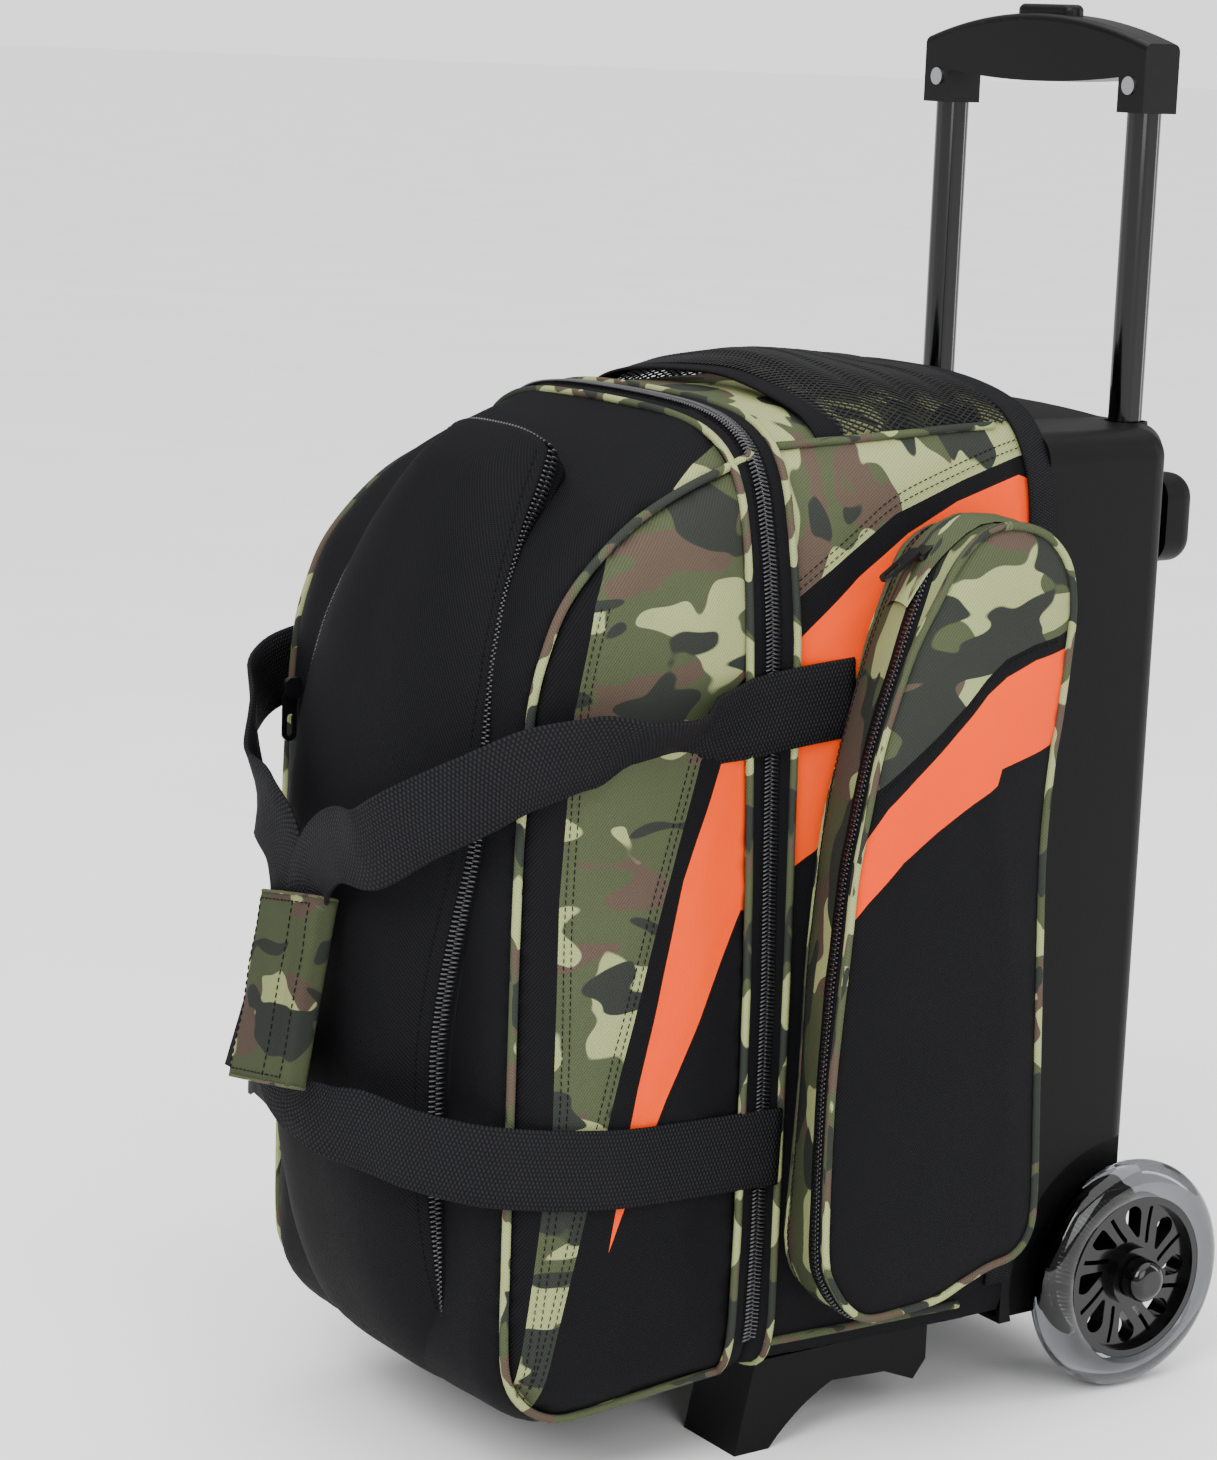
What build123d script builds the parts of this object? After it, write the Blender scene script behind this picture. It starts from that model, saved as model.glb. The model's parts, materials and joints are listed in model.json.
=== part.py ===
from build123d import *
import os
from math import cos, radians, sin

# Wheeled bag for two bowling balls: moulded tub at the back, fabric body, telescopic handle.
# Millimetres. +X is the bag's right-hand side, -Y its front, +Y its back, +Z up.
# The origin is on the floor, under the middle of the whole bag.

os.makedirs("parts", exist_ok=True)

# ---- running gear ----
wheel_diameter = 127.0
wheel_stand = 7.1
tyre_width = 24.0
hub_radius = 45.5
hub_width = 20.0
hub_rim = 4.0
hub_web = 10.0
boss_radius = 16.5
bearing_radius = 11.0
bearing_width = 7.0
axle_radius = 4.0
axle_overhang = 10.0
cap_radius = 11.7
cap_length = 11.0
spoke_pairs = 8
running_clearance = 0.05
well_clearance = 12.5
well_gap = 1.6
spacer_wall = 2.0
cap_gap = 1.5

# ---- stations along the bag, measured forwards from the axle ----
tub_mouth = 82.0
fabric_depth = 158.0
gusset_width = 24.0
front_depth = 140.0
wrap_reach = 86.0

front_forward = tub_mouth + fabric_depth + gusset_width + front_depth
handle_reach = front_forward + wrap_reach
wheel_radius = wheel_diameter / 2
axle_y = (handle_reach - wheel_radius) / 2
axle_z = wheel_radius
tub_front = axle_y - tub_mouth
fabric_front = tub_front - fabric_depth
zip_line = fabric_front - gusset_width / 2
front_back = fabric_front - gusset_width
front_face = front_back - front_depth

# ---- tub ----
tub_half = 122.0
tub_bottom = 46.0
tub_top = 525.0
tub_wall = 3.0
tub_back = axle_y + 23.0
tub_side_back = axle_y - 3.0
tub_chamfer = 30.0
tub_corner = 13.0
tub_edge = 15.0
dome_radius = 58.0
dome_rise = 11.0
dome_crest = 9.5
axle_housing = 20.0
seat_clearance = 0.3
bumper_inset = 8.0
bumper_z = 473.0
bumper_width = 30.0
bumper_height = 48.0
bumper_depth = 22.0
foot_inner = 65.0
foot_width = 45.0
foot_front = 247.0
foot_front_top = 236.0
foot_back_top = 122.0
sole_length = 22.0
foot_hollow = (203.0, 20.0)
foot_arch = (185.0, 30.0)
foot_flat = (150.0, 28.0)
foot_tip = (130.0, 20.0)
foot_bar = 8.0

# ---- fabric body ----
fabric_overhang = 3.0
fabric_half = tub_half + fabric_overhang
fabric_bottom = 50.0
fabric_side_top = 527.0
fabric_crown = 13.0
fabric_corner = 36.0
fabric_wall = 5.0
hem_corner = 12.0
seam_gap = 0.4
tape_thickness = 2.5
coil_width = 5.0
coil_height = 1.5
piping_radius = 2.5
border_width = 15.0
border_thickness = 2.0
tape_inset = 2.0
zip_foot = 66.0

# ---- front half: side profile, forward of its back edge and up from the floor ----
front_corner = 30.0
front_toe = (front_depth - 38.0, 39.0)
front_shin = (front_depth - 2.0, 73.0)
front_waist = (front_depth, 317.0)
front_chest = (front_depth - 6.0, 413.0)
front_shoulder = (front_depth - 24.0, 459.0)
front_brow = (front_depth - 65.0, 497.0)
front_top = (front_depth - 123.0, 530.0)

# ---- pockets ----
pocket_wall = 3.0
front_pocket_half = 76.0
front_pocket_corner = 24.0
side_pocket_out = 45.0
mesh_inset = 25.0
mesh_rise = 29.5
mesh_thickness = 1.5
mesh_length = 128.0
front_pocket_reach = 40.0

# front pocket seen from the side: forward of the front half's face, up from the floor
front_pocket_profile = [(-80.0, 70.0), (-26.0, 48.0), (2.0, 72.0), (18.0, 110.0), (28.0, 160.0),
                        (30.0, 220.0), (26.0, 320.0), (16.0, 400.0), (-1.0, 455.0), (-19.0, 505.0),
                        (-32.0, 522.0), (-48.0, 527.0), (-70.0, 522.0), (-95.0, 512.0)]
front_pocket_space = [(-80.0, 92.0), (-5.0, 92.0), (10.0, 118.0), (23.0, 165.0), (26.0, 222.0),
                      (22.0, 320.0), (12.0, 399.0), (-5.0, 452.0), (-23.0, 502.0), (-80.0, 502.0)]
# side pocket seen from the side: forward of the axle, up from the floor
pocket_base = [(160.0, 480.0), (127.0, 470.0), (110.0, 440.0), (112.0, 164.0), (118.0, 118.0),
               (215.0, 92.0), (230.0, 124.0), (232.0, 261.0), (222.0, 400.0), (205.0, 450.0)]
pocket_face = [(162.0, 492.0), (127.0, 480.0), (108.0, 450.0), (111.0, 164.0), (117.0, 116.0),
               (226.0, 92.0), (252.0, 124.0), (247.0, 261.0), (229.0, 408.0), (214.0, 457.0)]

# ---- telescopic handle ----
tube_inset = 43.4
tube_y = axle_y + 6.8
tube_width = 14.9
tube_depth = 17.8
tube_wall = 1.2
tube_gap = 0.35
tube_length = 440.0
middle_length = 420.0
grip_height = 687.0
socket_height = 36.0
socket_wall = 3.05
grip_over_inside = 8.6
grip_over_outside = 11.4
grip_edge = 4.0
grip_room = 12.0
grip_parting = 28.0
grip_crown = 50.0
grip_underside = 14.0
grip_shell = 2.6
tube_insert = 25.0
button_length = 46.0
button_width = 13.0
button_rise = 5.0
button_clearance = 0.5
middle_drop = 2.0
beam_clearance = 2.5
rod_radius = 1.8
rod_offset = 3.6
rod_foot = 12.0
bar_rise = 30.5
bar_height = 5.0
beam_thickness = 8.0
beam_overhang = 12.0
beam_depth = 20.0
screw_head = 4.75
screw_shank = 2.0
screw_rise = 1.2
screw_height = 14.0
bush_height = 6.0

# ---- inside ----
ball_diameter = 216.0
ball_clearance = 1.0
cup_height = 25.0
cup_half = 95.0
board = 4.0
ball_lift = 5.0
headroom = 4.0

lining = 2.0
lining_gap = 1.0
board_inset = 14.0
bracket_width = 6.0
bracket_height = 6.0
cup_corner = 20.0

# ---- webbing: stations in from the side, forward of the front half's face, up, and the face's direction ----
webbing_width = 39.0
webbing_thickness = 2.5
wrap_half = 31.0
wrap_centre = 20.0
wrap_profile = [(-44.0, 303.0), (-32.0, 305.0), (0.0, 200.0), (-13.0, 195.0)]
anchor_start = 5.5
anchor_heights = (420.0, 172.0)
straight_run = 8.0
upper_route = [(0.0, -74.0, 396.0, 1, 0), (0.0, -32.0, 384.0, 1, 0), (10.0, 16.0, 368.0, 0.8, -0.6),
               (34.0, 42.0, 350.0, 0.45, -0.9), (58.0, 53.0, 334.0, 0.25, -0.97)]
lower_route = [(0.0, -74.0, 176.0, 1, 0), (0.0, -30.0, 180.0, 1, 0), (11.0, 12.0, 186.0, 0.75, -0.66),
               (42.0, 32.0, 191.0, 0.3, -0.95), (68.0, 43.0, 193.0, 0.2, -0.98)]
# last station of each loop: out from the wrap's edge, forward of the front half's face, up
upper_end = (1.0, 55.0, 328.0)
lower_end = (-30.0, 54.0, 194.0)

# ---- zips: places of the pulls' hinge pins, forward and up, and their sliders ----
side_pull = (189.0, 475.0)
front_pull = (146.0, 380.0)
main_pull_heights = (262.0, 226.0)
front_pull_stand = 5.2
main_pull_stand = 6.6
main_pull_offset = 6.0
pull_slant = 33.85
slider_length = 11.0
slider_width = 9.0
slider_height = 5.0
slider_clearance = 0.3
pin_radius = 1.6
pull_length = 26.0
pull_width = 8.0
pull_thickness = 1.6


def front_plane(y):
    """Plane that looks at the bag from the front, x right and y up, standing at y."""
    return Plane.XZ.offset(-y)


def side_plane(x):
    """Plane that looks at the bag from its right side, x backwards and y up."""
    return Plane.YZ.offset(x)


def body_block(start, length, inset=0.0, drop=0.0):
    """Solid with the body's front view (round shoulders, crowned top), running forwards from start."""
    half, low, side_top = fabric_half - inset, fabric_bottom + inset - drop, fabric_side_top - inset
    corner = fabric_corner - inset
    shoulder, reach = side_top - corner, half - corner
    diagonal = corner * cos(radians(45))
    with BuildPart() as block:
        with BuildSketch(front_plane(start)) as face:
            with BuildLine():
                Polyline((-half, shoulder), (-half, low), (half, low), (half, shoulder))
                ThreePointArc((half, shoulder), (reach + diagonal, shoulder + diagonal), (reach, side_top))
                ThreePointArc((reach, side_top), (0, side_top + fabric_crown), (-reach, side_top))
                ThreePointArc((-reach, side_top), (-reach - diagonal, shoulder + diagonal), (-half, shoulder))
            make_face()
            fillet(face.vertices().group_by(Axis.Y)[0], hem_corner - inset)
        extrude(amount=length)
    return block.part


def body_ring(start, length, outer, inner):
    """Band that follows the body's front view; outer and inner are insets."""
    with BuildPart() as ring:
        add(body_block(start, length, outer))
        add(body_block(start, length, inner), mode=Mode.SUBTRACT)
    return ring.part


def body_arch(start, length, outer, inner, foot):
    """The same band without its bottom run: it starts at the height foot on both sides."""
    with BuildPart() as arch:
        add(body_ring(start, length, outer, inner))
        with BuildSketch(front_plane(start)):
            Rectangle(4 * fabric_half, 2 * foot)
        extrude(amount=length, mode=Mode.SUBTRACT)
    return arch.part


def front_block(inset=0.0):
    """Front half: its side profile, cut by the body's front view and by a plan with round corners."""
    spare = 2 * inset
    back = front_back + spare
    outline = [(back, fabric_bottom)]
    for forward, height in front_profile:
        outline.append((front_back - forward, height))
    outline.append((back, front_profile[-1][1] + fabric_crown))
    with BuildPart() as block:
        with BuildSketch(side_plane(-fabric_half)):
            with BuildLine():
                Polyline(*outline, close=True)
            make_face()
            if inset:
                offset(amount=-inset, kind=Kind.INTERSECTION, mode=Mode.REPLACE)
        extrude(amount=2 * fabric_half)
        with BuildSketch(Plane.XY) as plan:
            with Locations((0, back - (front_depth + spare - inset) / 2)):
                Rectangle(2 * (fabric_half - inset), front_depth + spare - inset)
            fillet(plan.vertices().group_by(Axis.Y)[0], front_corner - inset)
        extrude(amount=2 * fabric_side_top, mode=Mode.INTERSECT)
        add(body_block(back, front_depth + spare, inset, fabric_bottom - front_toe[1]), mode=Mode.INTERSECT)
    return block.part


def tub_block(inset=0.0):
    """Tub's outer form: plan with sloped back corners, soft upper and rear edges."""
    half, back_half = tub_half - inset, tub_back_half - inset / 2
    mouth = tub_front - (1.0 if inset else 0.0)
    with BuildPart() as block:
        with BuildSketch(Plane.XY.offset(tub_bottom + inset)) as plan:
            with BuildLine():
                Polyline((-half, mouth), (half, mouth), (half, tub_side_back - inset),
                         (back_half, tub_back - inset), (-back_half, tub_back - inset),
                         (-half, tub_side_back - inset), close=True)
            make_face()
            fillet(plan.vertices().sort_by(Axis.Y)[2:], tub_corner - inset)
        extrude(amount=tub_top - tub_bottom - 2 * inset)
        rim = block.faces().sort_by(Axis.Z)[-1].edges()
        fillet(rim.sort_by(Axis.Y)[1:], tub_edge - inset)
    return block.part


def wheel_recess(side):
    """Wall of the round recess behind one wheel, inside the tub's form."""
    with BuildPart() as recess:
        add(tub_block())
        with BuildSketch(side_plane(side * (well_inner - tub_wall))):
            with Locations((axle_y, axle_z)):
                Circle(well_radius + tub_wall)
        extrude(amount=side * (tub_half - well_inner + tub_wall), mode=Mode.INTERSECT)
    return recess.part


def lid_dome():
    """Low dome on the tub's lid, between the handle tubes: crowned both ways."""
    low = tub_top - tub_wall
    back = tub_back - tub_edge
    with BuildPart() as dome:
        with BuildSketch(front_plane(back)):
            with BuildLine():
                ThreePointArc((-dome_radius, tub_top), (0, tub_top + dome_rise), (dome_radius, tub_top))
                Polyline((dome_radius, tub_top), (dome_radius, low),
                         (-dome_radius, low), (-dome_radius, tub_top))
            make_face()
        extrude(amount=back - tub_front)
        with BuildSketch(side_plane(-dome_radius)):
            with BuildLine():
                ThreePointArc((tub_front, tub_top + dome_rise), ((tub_front + back) / 2, tub_top + dome_crest),
                              (back, tub_top))
                Polyline((back, tub_top), (back, low), (tub_front, low), (tub_front, tub_top + dome_rise))
            make_face()
        extrude(amount=2 * dome_radius, mode=Mode.INTERSECT)
    return dome.part


def oval(grow, mode=Mode.ADD):
    """Rounded rectangle of a handle tube's section, grown all round."""
    width, depth = tube_width + 2 * grow, tube_depth + 2 * grow
    RectangleRounded(width, depth, width * 0.42, mode=mode)


def tube(side, low, high, outer, inner):
    """One straight oval tube on a handle centre; outer and inner grow the inner tube's section."""
    with BuildPart() as pipe:
        with BuildSketch(Plane.XY.offset(low)):
            with Locations((side * tube_spread / 2, tube_y)):
                oval(outer)
                oval(inner, Mode.SUBTRACT)
        extrude(amount=high - low)
    return pipe.part


def screw_bores():
    """Holes of the grip's four screws, through the socket walls and the tubes."""
    with BuildPart() as bores:
        for side in sides.values():
            for facing in (-1, 1):
                with BuildSketch(front_plane(tube_y + facing * grip_depth / 2)):
                    with Locations((side * tube_spread / 2, grip_height + screw_height)):
                        Circle(screw_shank)
                extrude(amount=facing * (socket_wall + tube_wall))
    return bores.part


def ribbon(stations, width, thickness):
    """Webbing through (x, y, z, x and y of its face's direction) stations, flat runs between them."""
    with BuildPart() as band:
        for number, (x, y, z, face_x, face_y) in enumerate(stations):
            before = stations[max(number - 1, 0)]
            after = stations[min(number + 1, len(stations) - 1)]
            run = Vector(after[0] - before[0], after[1] - before[1], after[2] - before[2]).normalized()
            face = Vector(face_x, face_y, 0)
            face = (face - run * face.dot(run)).normalized()
            with BuildSketch(Plane(origin=(x, y, z), x_dir=face, z_dir=run)):
                Rectangle(thickness, width)
        loft(ruled=True)
    return band.part


def foot_point(forward, height):
    """Point of a foot's side view, from its distance in front of the axle."""
    return (axle_y - forward, height)


def hub_point(share, turn):
    """Point of the wheel's web, by share of the hub's radius and by angle."""
    return (hub_radius * share * cos(radians(turn)), hub_radius * share * sin(radians(turn)))


def save(part, name):
    """Label a finished piece and write it."""
    part.label = name
    export_step(part, f"parts/{name}.step")


# ---- places that follow from the sizes above ----
front_profile = [front_toe, front_shin, front_waist, front_chest, front_shoulder, front_brow, front_top]
sides = {"left": -1, "right": 1}
tub_back_half = tub_half - tub_chamfer
wheel_track = 2 * (tub_half + wheel_stand)
well_inner = wheel_track / 2 - tyre_width / 2 - well_gap
well_radius = wheel_radius + well_clearance
middle_grow = tube_gap + tube_wall
outer_grow = 2 * middle_grow
tube_spread = 2 * (tub_half - tube_inset)
grip_inner = tube_spread / 2 - grip_over_inside
grip_outer = tube_spread / 2 + grip_over_outside
grip_split = grip_height + grip_parting
grip_mid_top = grip_height + grip_crown
bar_low = grip_height + bar_rise
tube_top = grip_height + tube_insert
inner_low = tube_top - tube_length
middle_top = tub_top - middle_drop
middle_low = middle_top - middle_length
outer_top = tub_top - bush_height
outer_low = axle_z + axle_housing + beam_clearance + beam_thickness
axle_axis = Axis((0, axle_y, axle_z), (1, 0, 0))

pocket_middle = fabric_half + side_pocket_out / 2
# pin, direction in which the pull hangs, direction out of the fabric
slant_along = (0, -cos(radians(pull_slant)), -sin(radians(pull_slant)))
slant_out = (0, -sin(radians(pull_slant)), cos(radians(pull_slant)))
zip_pulls = {
    "side_zip_left": ((-pocket_middle, axle_y - side_pull[0], side_pull[1]), slant_along, slant_out),
    "side_zip_right": ((pocket_middle, axle_y - side_pull[0], side_pull[1]), slant_along, slant_out),
    "front_zip": ((-front_pocket_half - front_pull_stand, front_back - front_pull[0], front_pull[1]),
                  (0, 0, -1), (-1, 0, 0)),
}
for place, height in zip(("upper", "lower"), main_pull_heights):
    zip_pulls[f"main_zip_{place}"] = ((-fabric_half - main_pull_stand, zip_line + main_pull_offset, height),
                                      (0, 0, -1), (-1, 0, 0))

# =============== tub ===============
recesses = [wheel_recess(side) for side in sides.values()]
dome = lid_dome()
with BuildPart() as tub:
    add(tub_block())
    add(tub_block(tub_wall), mode=Mode.SUBTRACT)
    add(recesses)
    add(dome)
    for side in sides.values():
        with BuildSketch(side_plane(side * well_inner)):
            with Locations((axle_y, axle_z)):
                Circle(well_radius)
        extrude(amount=side * 2 * tub_half, mode=Mode.SUBTRACT)
    # housing that carries the axle across the tub's floor
    with BuildSketch(side_plane(-well_inner)):
        with Locations((axle_y, axle_z)):
            Circle(axle_housing)
        with Locations((axle_y, (tub_bottom + axle_z) / 2)):
            Rectangle(2 * axle_housing, axle_z - tub_bottom)
    extrude(amount=2 * well_inner)
    with BuildSketch(side_plane(-tub_half)):
        with Locations((axle_y, axle_z)):
            Circle(axle_radius + running_clearance)
    extrude(amount=2 * tub_half, mode=Mode.SUBTRACT)
    # mouths for the handle tubes
    with BuildSketch(Plane.XY.offset(tub_top - tub_edge - tub_wall)):
        for side in sides.values():
            with Locations((side * tube_spread / 2, tube_y)):
                oval(outer_grow + seat_clearance)
    extrude(amount=2 * tub_edge, mode=Mode.SUBTRACT)
save(tub.part, "tub")

# rest feet on the tub's back, for laying the bag down
with BuildPart() as bumpers:
    with BuildSketch(front_plane(tub_back)):
        with Locations((bumper_inset - tub_back_half, bumper_z), (tub_back_half - bumper_inset, bumper_z)):
            RectangleRounded(bumper_width, bumper_height, bumper_width / 2.2)
    extrude(amount=-bumper_depth)
    fillet(bumpers.faces().sort_by(Axis.Y)[-2:].edges(), bumper_width / 3)
save(bumpers.part, "rear_bumpers")

# front feet: two moulded legs under the fabric, joined by a flat bar
with BuildPart() as feet:
    for side in sides.values():
        with BuildSketch(side_plane(side * foot_inner)):
            with BuildLine():
                Polyline(foot_point(foot_back_top, fabric_bottom), foot_point(foot_front_top, fabric_bottom),
                         foot_point(foot_front, 0), foot_point(foot_front - sole_length, 0))
                ThreePointArc(foot_point(foot_front - sole_length, 0), foot_point(*foot_hollow),
                              foot_point(*foot_arch))
                Polyline(foot_point(*foot_arch), foot_point(*foot_flat), foot_point(*foot_tip),
                         foot_point(foot_back_top, foot_arch[1]), foot_point(foot_back_top, fabric_bottom))
            make_face()
        extrude(amount=side * foot_width)
    with BuildSketch(Plane.XY.offset(fabric_bottom - foot_bar)):
        with Locations((0, axle_y - (foot_arch[0] + foot_flat[0]) / 2)):
            Rectangle(2 * foot_inner, foot_arch[0] - foot_flat[0])
    extrude(amount=foot_bar)
save(feet.part, "front_feet")

# =============== axle and wheels ===============
with BuildPart() as axle:
    with BuildSketch(side_plane(-(wheel_track + tyre_width) / 2 - axle_overhang / 2)):
        with Locations((axle_y, axle_z)):
            Circle(axle_radius)
    extrude(amount=wheel_track + tyre_width + axle_overhang)
save(axle.part, "axle")

# openings of the spoked web: a teardrop, then a thin slot between each pair of swirled spokes
with BuildSketch() as teardrop:
    with Locations((hub_radius * 0.73, 0)):
        Circle(hub_radius * 0.125)
    with Locations((hub_radius * 0.48, -hub_radius * 0.09)):
        Circle(hub_radius * 0.03)
    make_hull()
with BuildLine() as swirl:
    ThreePointArc(hub_point(0.45, -9), hub_point(0.65, 0), hub_point(0.84, 3))
with BuildSketch() as slot:
    SlotArc(swirl.edges()[0], hub_radius * 0.055)

for name, side in sides.items():
    middle = side * wheel_track / 2
    wheel_plane = Plane(origin=(middle, axle_y, axle_z), x_dir=(side, 0, 0), z_dir=(0, -side, 0))
    face_plane = Plane(origin=(middle, axle_y, axle_z), x_dir=(0, side, 0), z_dir=(side, 0, 0))
    with BuildPart() as tyre:
        with BuildSketch(wheel_plane):
            with Locations((0, wheel_radius - tyre_width / 2)):
                Circle(tyre_width / 2)
            with Locations((0, (hub_radius + wheel_radius - tyre_width / 2) / 2)):
                Rectangle(hub_width, wheel_radius - tyre_width / 2 - hub_radius)
            with Locations((0, hub_radius / 2)):
                Rectangle(2 * tyre_width, hub_radius, mode=Mode.SUBTRACT)
        revolve(axis=axle_axis)
    save(tyre.part, f"tyre_{name}")

    with BuildPart() as hub:
        with BuildSketch(face_plane.offset(-hub_width / 2)):
            Circle(hub_radius)
            Circle(hub_radius - hub_rim, mode=Mode.SUBTRACT)
        extrude(amount=hub_width)
        with BuildSketch(face_plane.offset(-hub_web / 2)) as web:
            Circle(hub_radius - hub_rim / 2)
            for pair in range(spoke_pairs):
                turn = 360.0 / spoke_pairs * pair
                with Locations(Location((0, 0, 0), (0, 0, turn))):
                    add(teardrop.sketch, mode=Mode.SUBTRACT)
                with Locations(Location((0, 0, 0), (0, 0, turn + 180.0 / spoke_pairs))):
                    add(slot.sketch, mode=Mode.SUBTRACT)
        extrude(amount=hub_web)
        with BuildSketch(face_plane.offset(-hub_width / 2)):
            Circle(boss_radius)
        extrude(amount=hub_width)
        with BuildSketch(face_plane.offset(-hub_width / 2)):
            Circle(bearing_radius)
        extrude(amount=hub_width, mode=Mode.SUBTRACT)
    save(hub.part, f"hub_{name}")

    with BuildPart() as bearings:
        for start in (-hub_width / 2, hub_width / 2 - bearing_width):
            with BuildSketch(face_plane.offset(start)):
                Circle(bearing_radius)
                Circle(axle_radius + running_clearance, mode=Mode.SUBTRACT)
            extrude(amount=bearing_width)
    save(bearings.part, f"bearings_{name}")

    with BuildPart() as spacer:
        with BuildSketch(face_plane.offset(-hub_width / 2 + bearing_width)):
            Circle(axle_radius + spacer_wall)
            Circle(axle_radius + running_clearance, mode=Mode.SUBTRACT)
        extrude(amount=hub_width - 2 * bearing_width)
    save(spacer.part, f"bearing_spacer_{name}")

    with BuildPart() as cap:
        with BuildSketch(face_plane.offset(hub_width / 2 + cap_gap)) as rim:
            Circle(cap_radius)
        extrude(amount=cap_length)
        fillet(cap.faces().sort_by(Axis.X)[-1 if side > 0 else 0].edges(), cap_length * 0.55)
        with BuildSketch(face_plane):
            Circle(axle_radius)
        extrude(amount=(tyre_width + axle_overhang) / 2, mode=Mode.SUBTRACT)
    save(cap.part, f"axle_cap_{name}")

# =============== fabric body, back half ===============
rear_length = fabric_depth - piping_radius
shell = body_ring(tub_front, rear_length, 0, fabric_wall)
save(shell, "rear_shell")

gusset_half = gusset_width / 2 - seam_gap / 2
tape_back = tape_inset + tape_thickness
coil_face = tape_inset - coil_height
save(body_ring(fabric_front - piping_radius, gusset_half - piping_radius, tape_inset, tape_back), "rear_zip_tape")
save(body_arch(zip_line + seam_gap / 2 + coil_width, coil_width, coil_face, tape_inset, zip_foot),
     "rear_zip_coil")
save(body_ring(fabric_front + piping_radius, 2 * piping_radius, -piping_radius / 2, fabric_wall), "rear_piping")
save(body_arch(tub_front, border_width, -border_thickness, 0, fabric_bottom + hem_corner), "webbing_border")

# =============== fabric body, front half ===============
with BuildPart() as front_shell:
    add(front_block())
    add(front_block(fabric_wall), mode=Mode.SUBTRACT)
save(front_shell.part, "front_shell")
save(body_ring(zip_line - seam_gap / 2, gusset_half - 2 * piping_radius, tape_inset, tape_back), "front_zip_tape")
save(body_arch(zip_line - seam_gap / 2, coil_width, coil_face, tape_inset, zip_foot), "front_zip_coil")
save(body_ring(front_back + 2 * piping_radius, 2 * piping_radius, -piping_radius / 2, fabric_wall), "front_piping")

# front pocket: tray open at its back, against the front shell
with BuildPart() as front_pocket:
    with BuildSketch(side_plane(-front_pocket_half)):
        with BuildLine():
            Polyline(*[(front_face - forward, height) for forward, height in front_pocket_profile], close=True)
        make_face()
    extrude(amount=2 * front_pocket_half)
    with BuildSketch(Plane.XY) as plan:
        with Locations((0, front_face)):
            Rectangle(2 * front_pocket_half, 2 * front_pocket_reach)
        fillet(plan.vertices().group_by(Axis.Y)[0], front_pocket_corner)
    extrude(amount=2 * fabric_side_top, mode=Mode.INTERSECT)
    with BuildSketch(side_plane(-front_pocket_half + pocket_wall)):
        with BuildLine():
            Polyline(*[(front_face - forward, height) for forward, height in front_pocket_space], close=True)
        make_face()
    extrude(amount=2 * (front_pocket_half - pocket_wall), mode=Mode.SUBTRACT)
    add(front_block(-seam_gap / 2), mode=Mode.SUBTRACT)
save(front_pocket.part, "front_pocket")

# =============== side pockets ===============
for name, side in sides.items():
    with BuildPart() as pocket:
        for out, outline in ((0.0, pocket_base), (side_pocket_out, pocket_face)):
            with BuildSketch(side_plane(side * (fabric_half + seam_gap / 2 + out))):
                with BuildLine():
                    Polyline(*[(axle_y - forward, height) for forward, height in outline], close=True)
                make_face()
        loft(ruled=True)
        for out, outline in ((0.0, pocket_base), (side_pocket_out - pocket_wall, pocket_face)):
            with BuildSketch(side_plane(side * (fabric_half + seam_gap / 2 + out))):
                with BuildLine():
                    Polyline(*[(axle_y - forward, height) for forward, height in outline], close=True)
                make_face()
                offset(amount=-pocket_wall, kind=Kind.INTERSECTION, mode=Mode.REPLACE)
        loft(ruled=True, mode=Mode.SUBTRACT)
    save(pocket.part, f"side_pocket_{name}")

# =============== mesh pocket on top ===============
mesh_low = fabric_side_top + seam_gap
mesh_half = fabric_half - mesh_inset
with BuildPart() as mesh_pocket:
    with BuildSketch(front_plane(tub_front - border_width)):
        with BuildLine():
            ThreePointArc((-mesh_half, mesh_low), (0, mesh_low + mesh_rise), (mesh_half, mesh_low))
            ThreePointArc((-mesh_half, mesh_low), (0, mesh_low + mesh_rise - mesh_thickness),
                          (mesh_half, mesh_low))
        make_face()
    extrude(amount=mesh_length)
    add(body_block(tub_front, fabric_depth), mode=Mode.SUBTRACT)
save(mesh_pocket.part, "mesh_pocket")

# =============== telescopic handle ===============
grip_depth = tube_depth + 2 * socket_wall
bores = screw_bores()
for name, side in sides.items():
    outer = tube(side, outer_low, outer_top, outer_grow, middle_grow + tube_gap)
    save(outer, f"outer_tube_{name}")
    save(tube(side, middle_low, middle_top, middle_grow, tube_gap), f"middle_tube_{name}")
    with BuildPart() as inner:
        add(tube(side, inner_low, tube_top, 0, -tube_wall))
        add(bores, mode=Mode.SUBTRACT)
    save(inner.part, f"inner_tube_{name}")

with BuildPart() as bushes:
    for side in sides.values():
        add(tube(side, outer_top, tub_top, outer_grow, middle_grow + tube_gap))
save(bushes.part, "tube_bushes")

# beam that ties the outer tubes together at their feet
with BuildPart() as beam:
    with BuildSketch(Plane.XY.offset(outer_low - beam_thickness)):
        with Locations((0, tube_y)):
            Rectangle(tube_spread + 2 * beam_overhang, beam_depth)
    extrude(amount=beam_thickness)
save(beam.part, "tube_beam")

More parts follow.
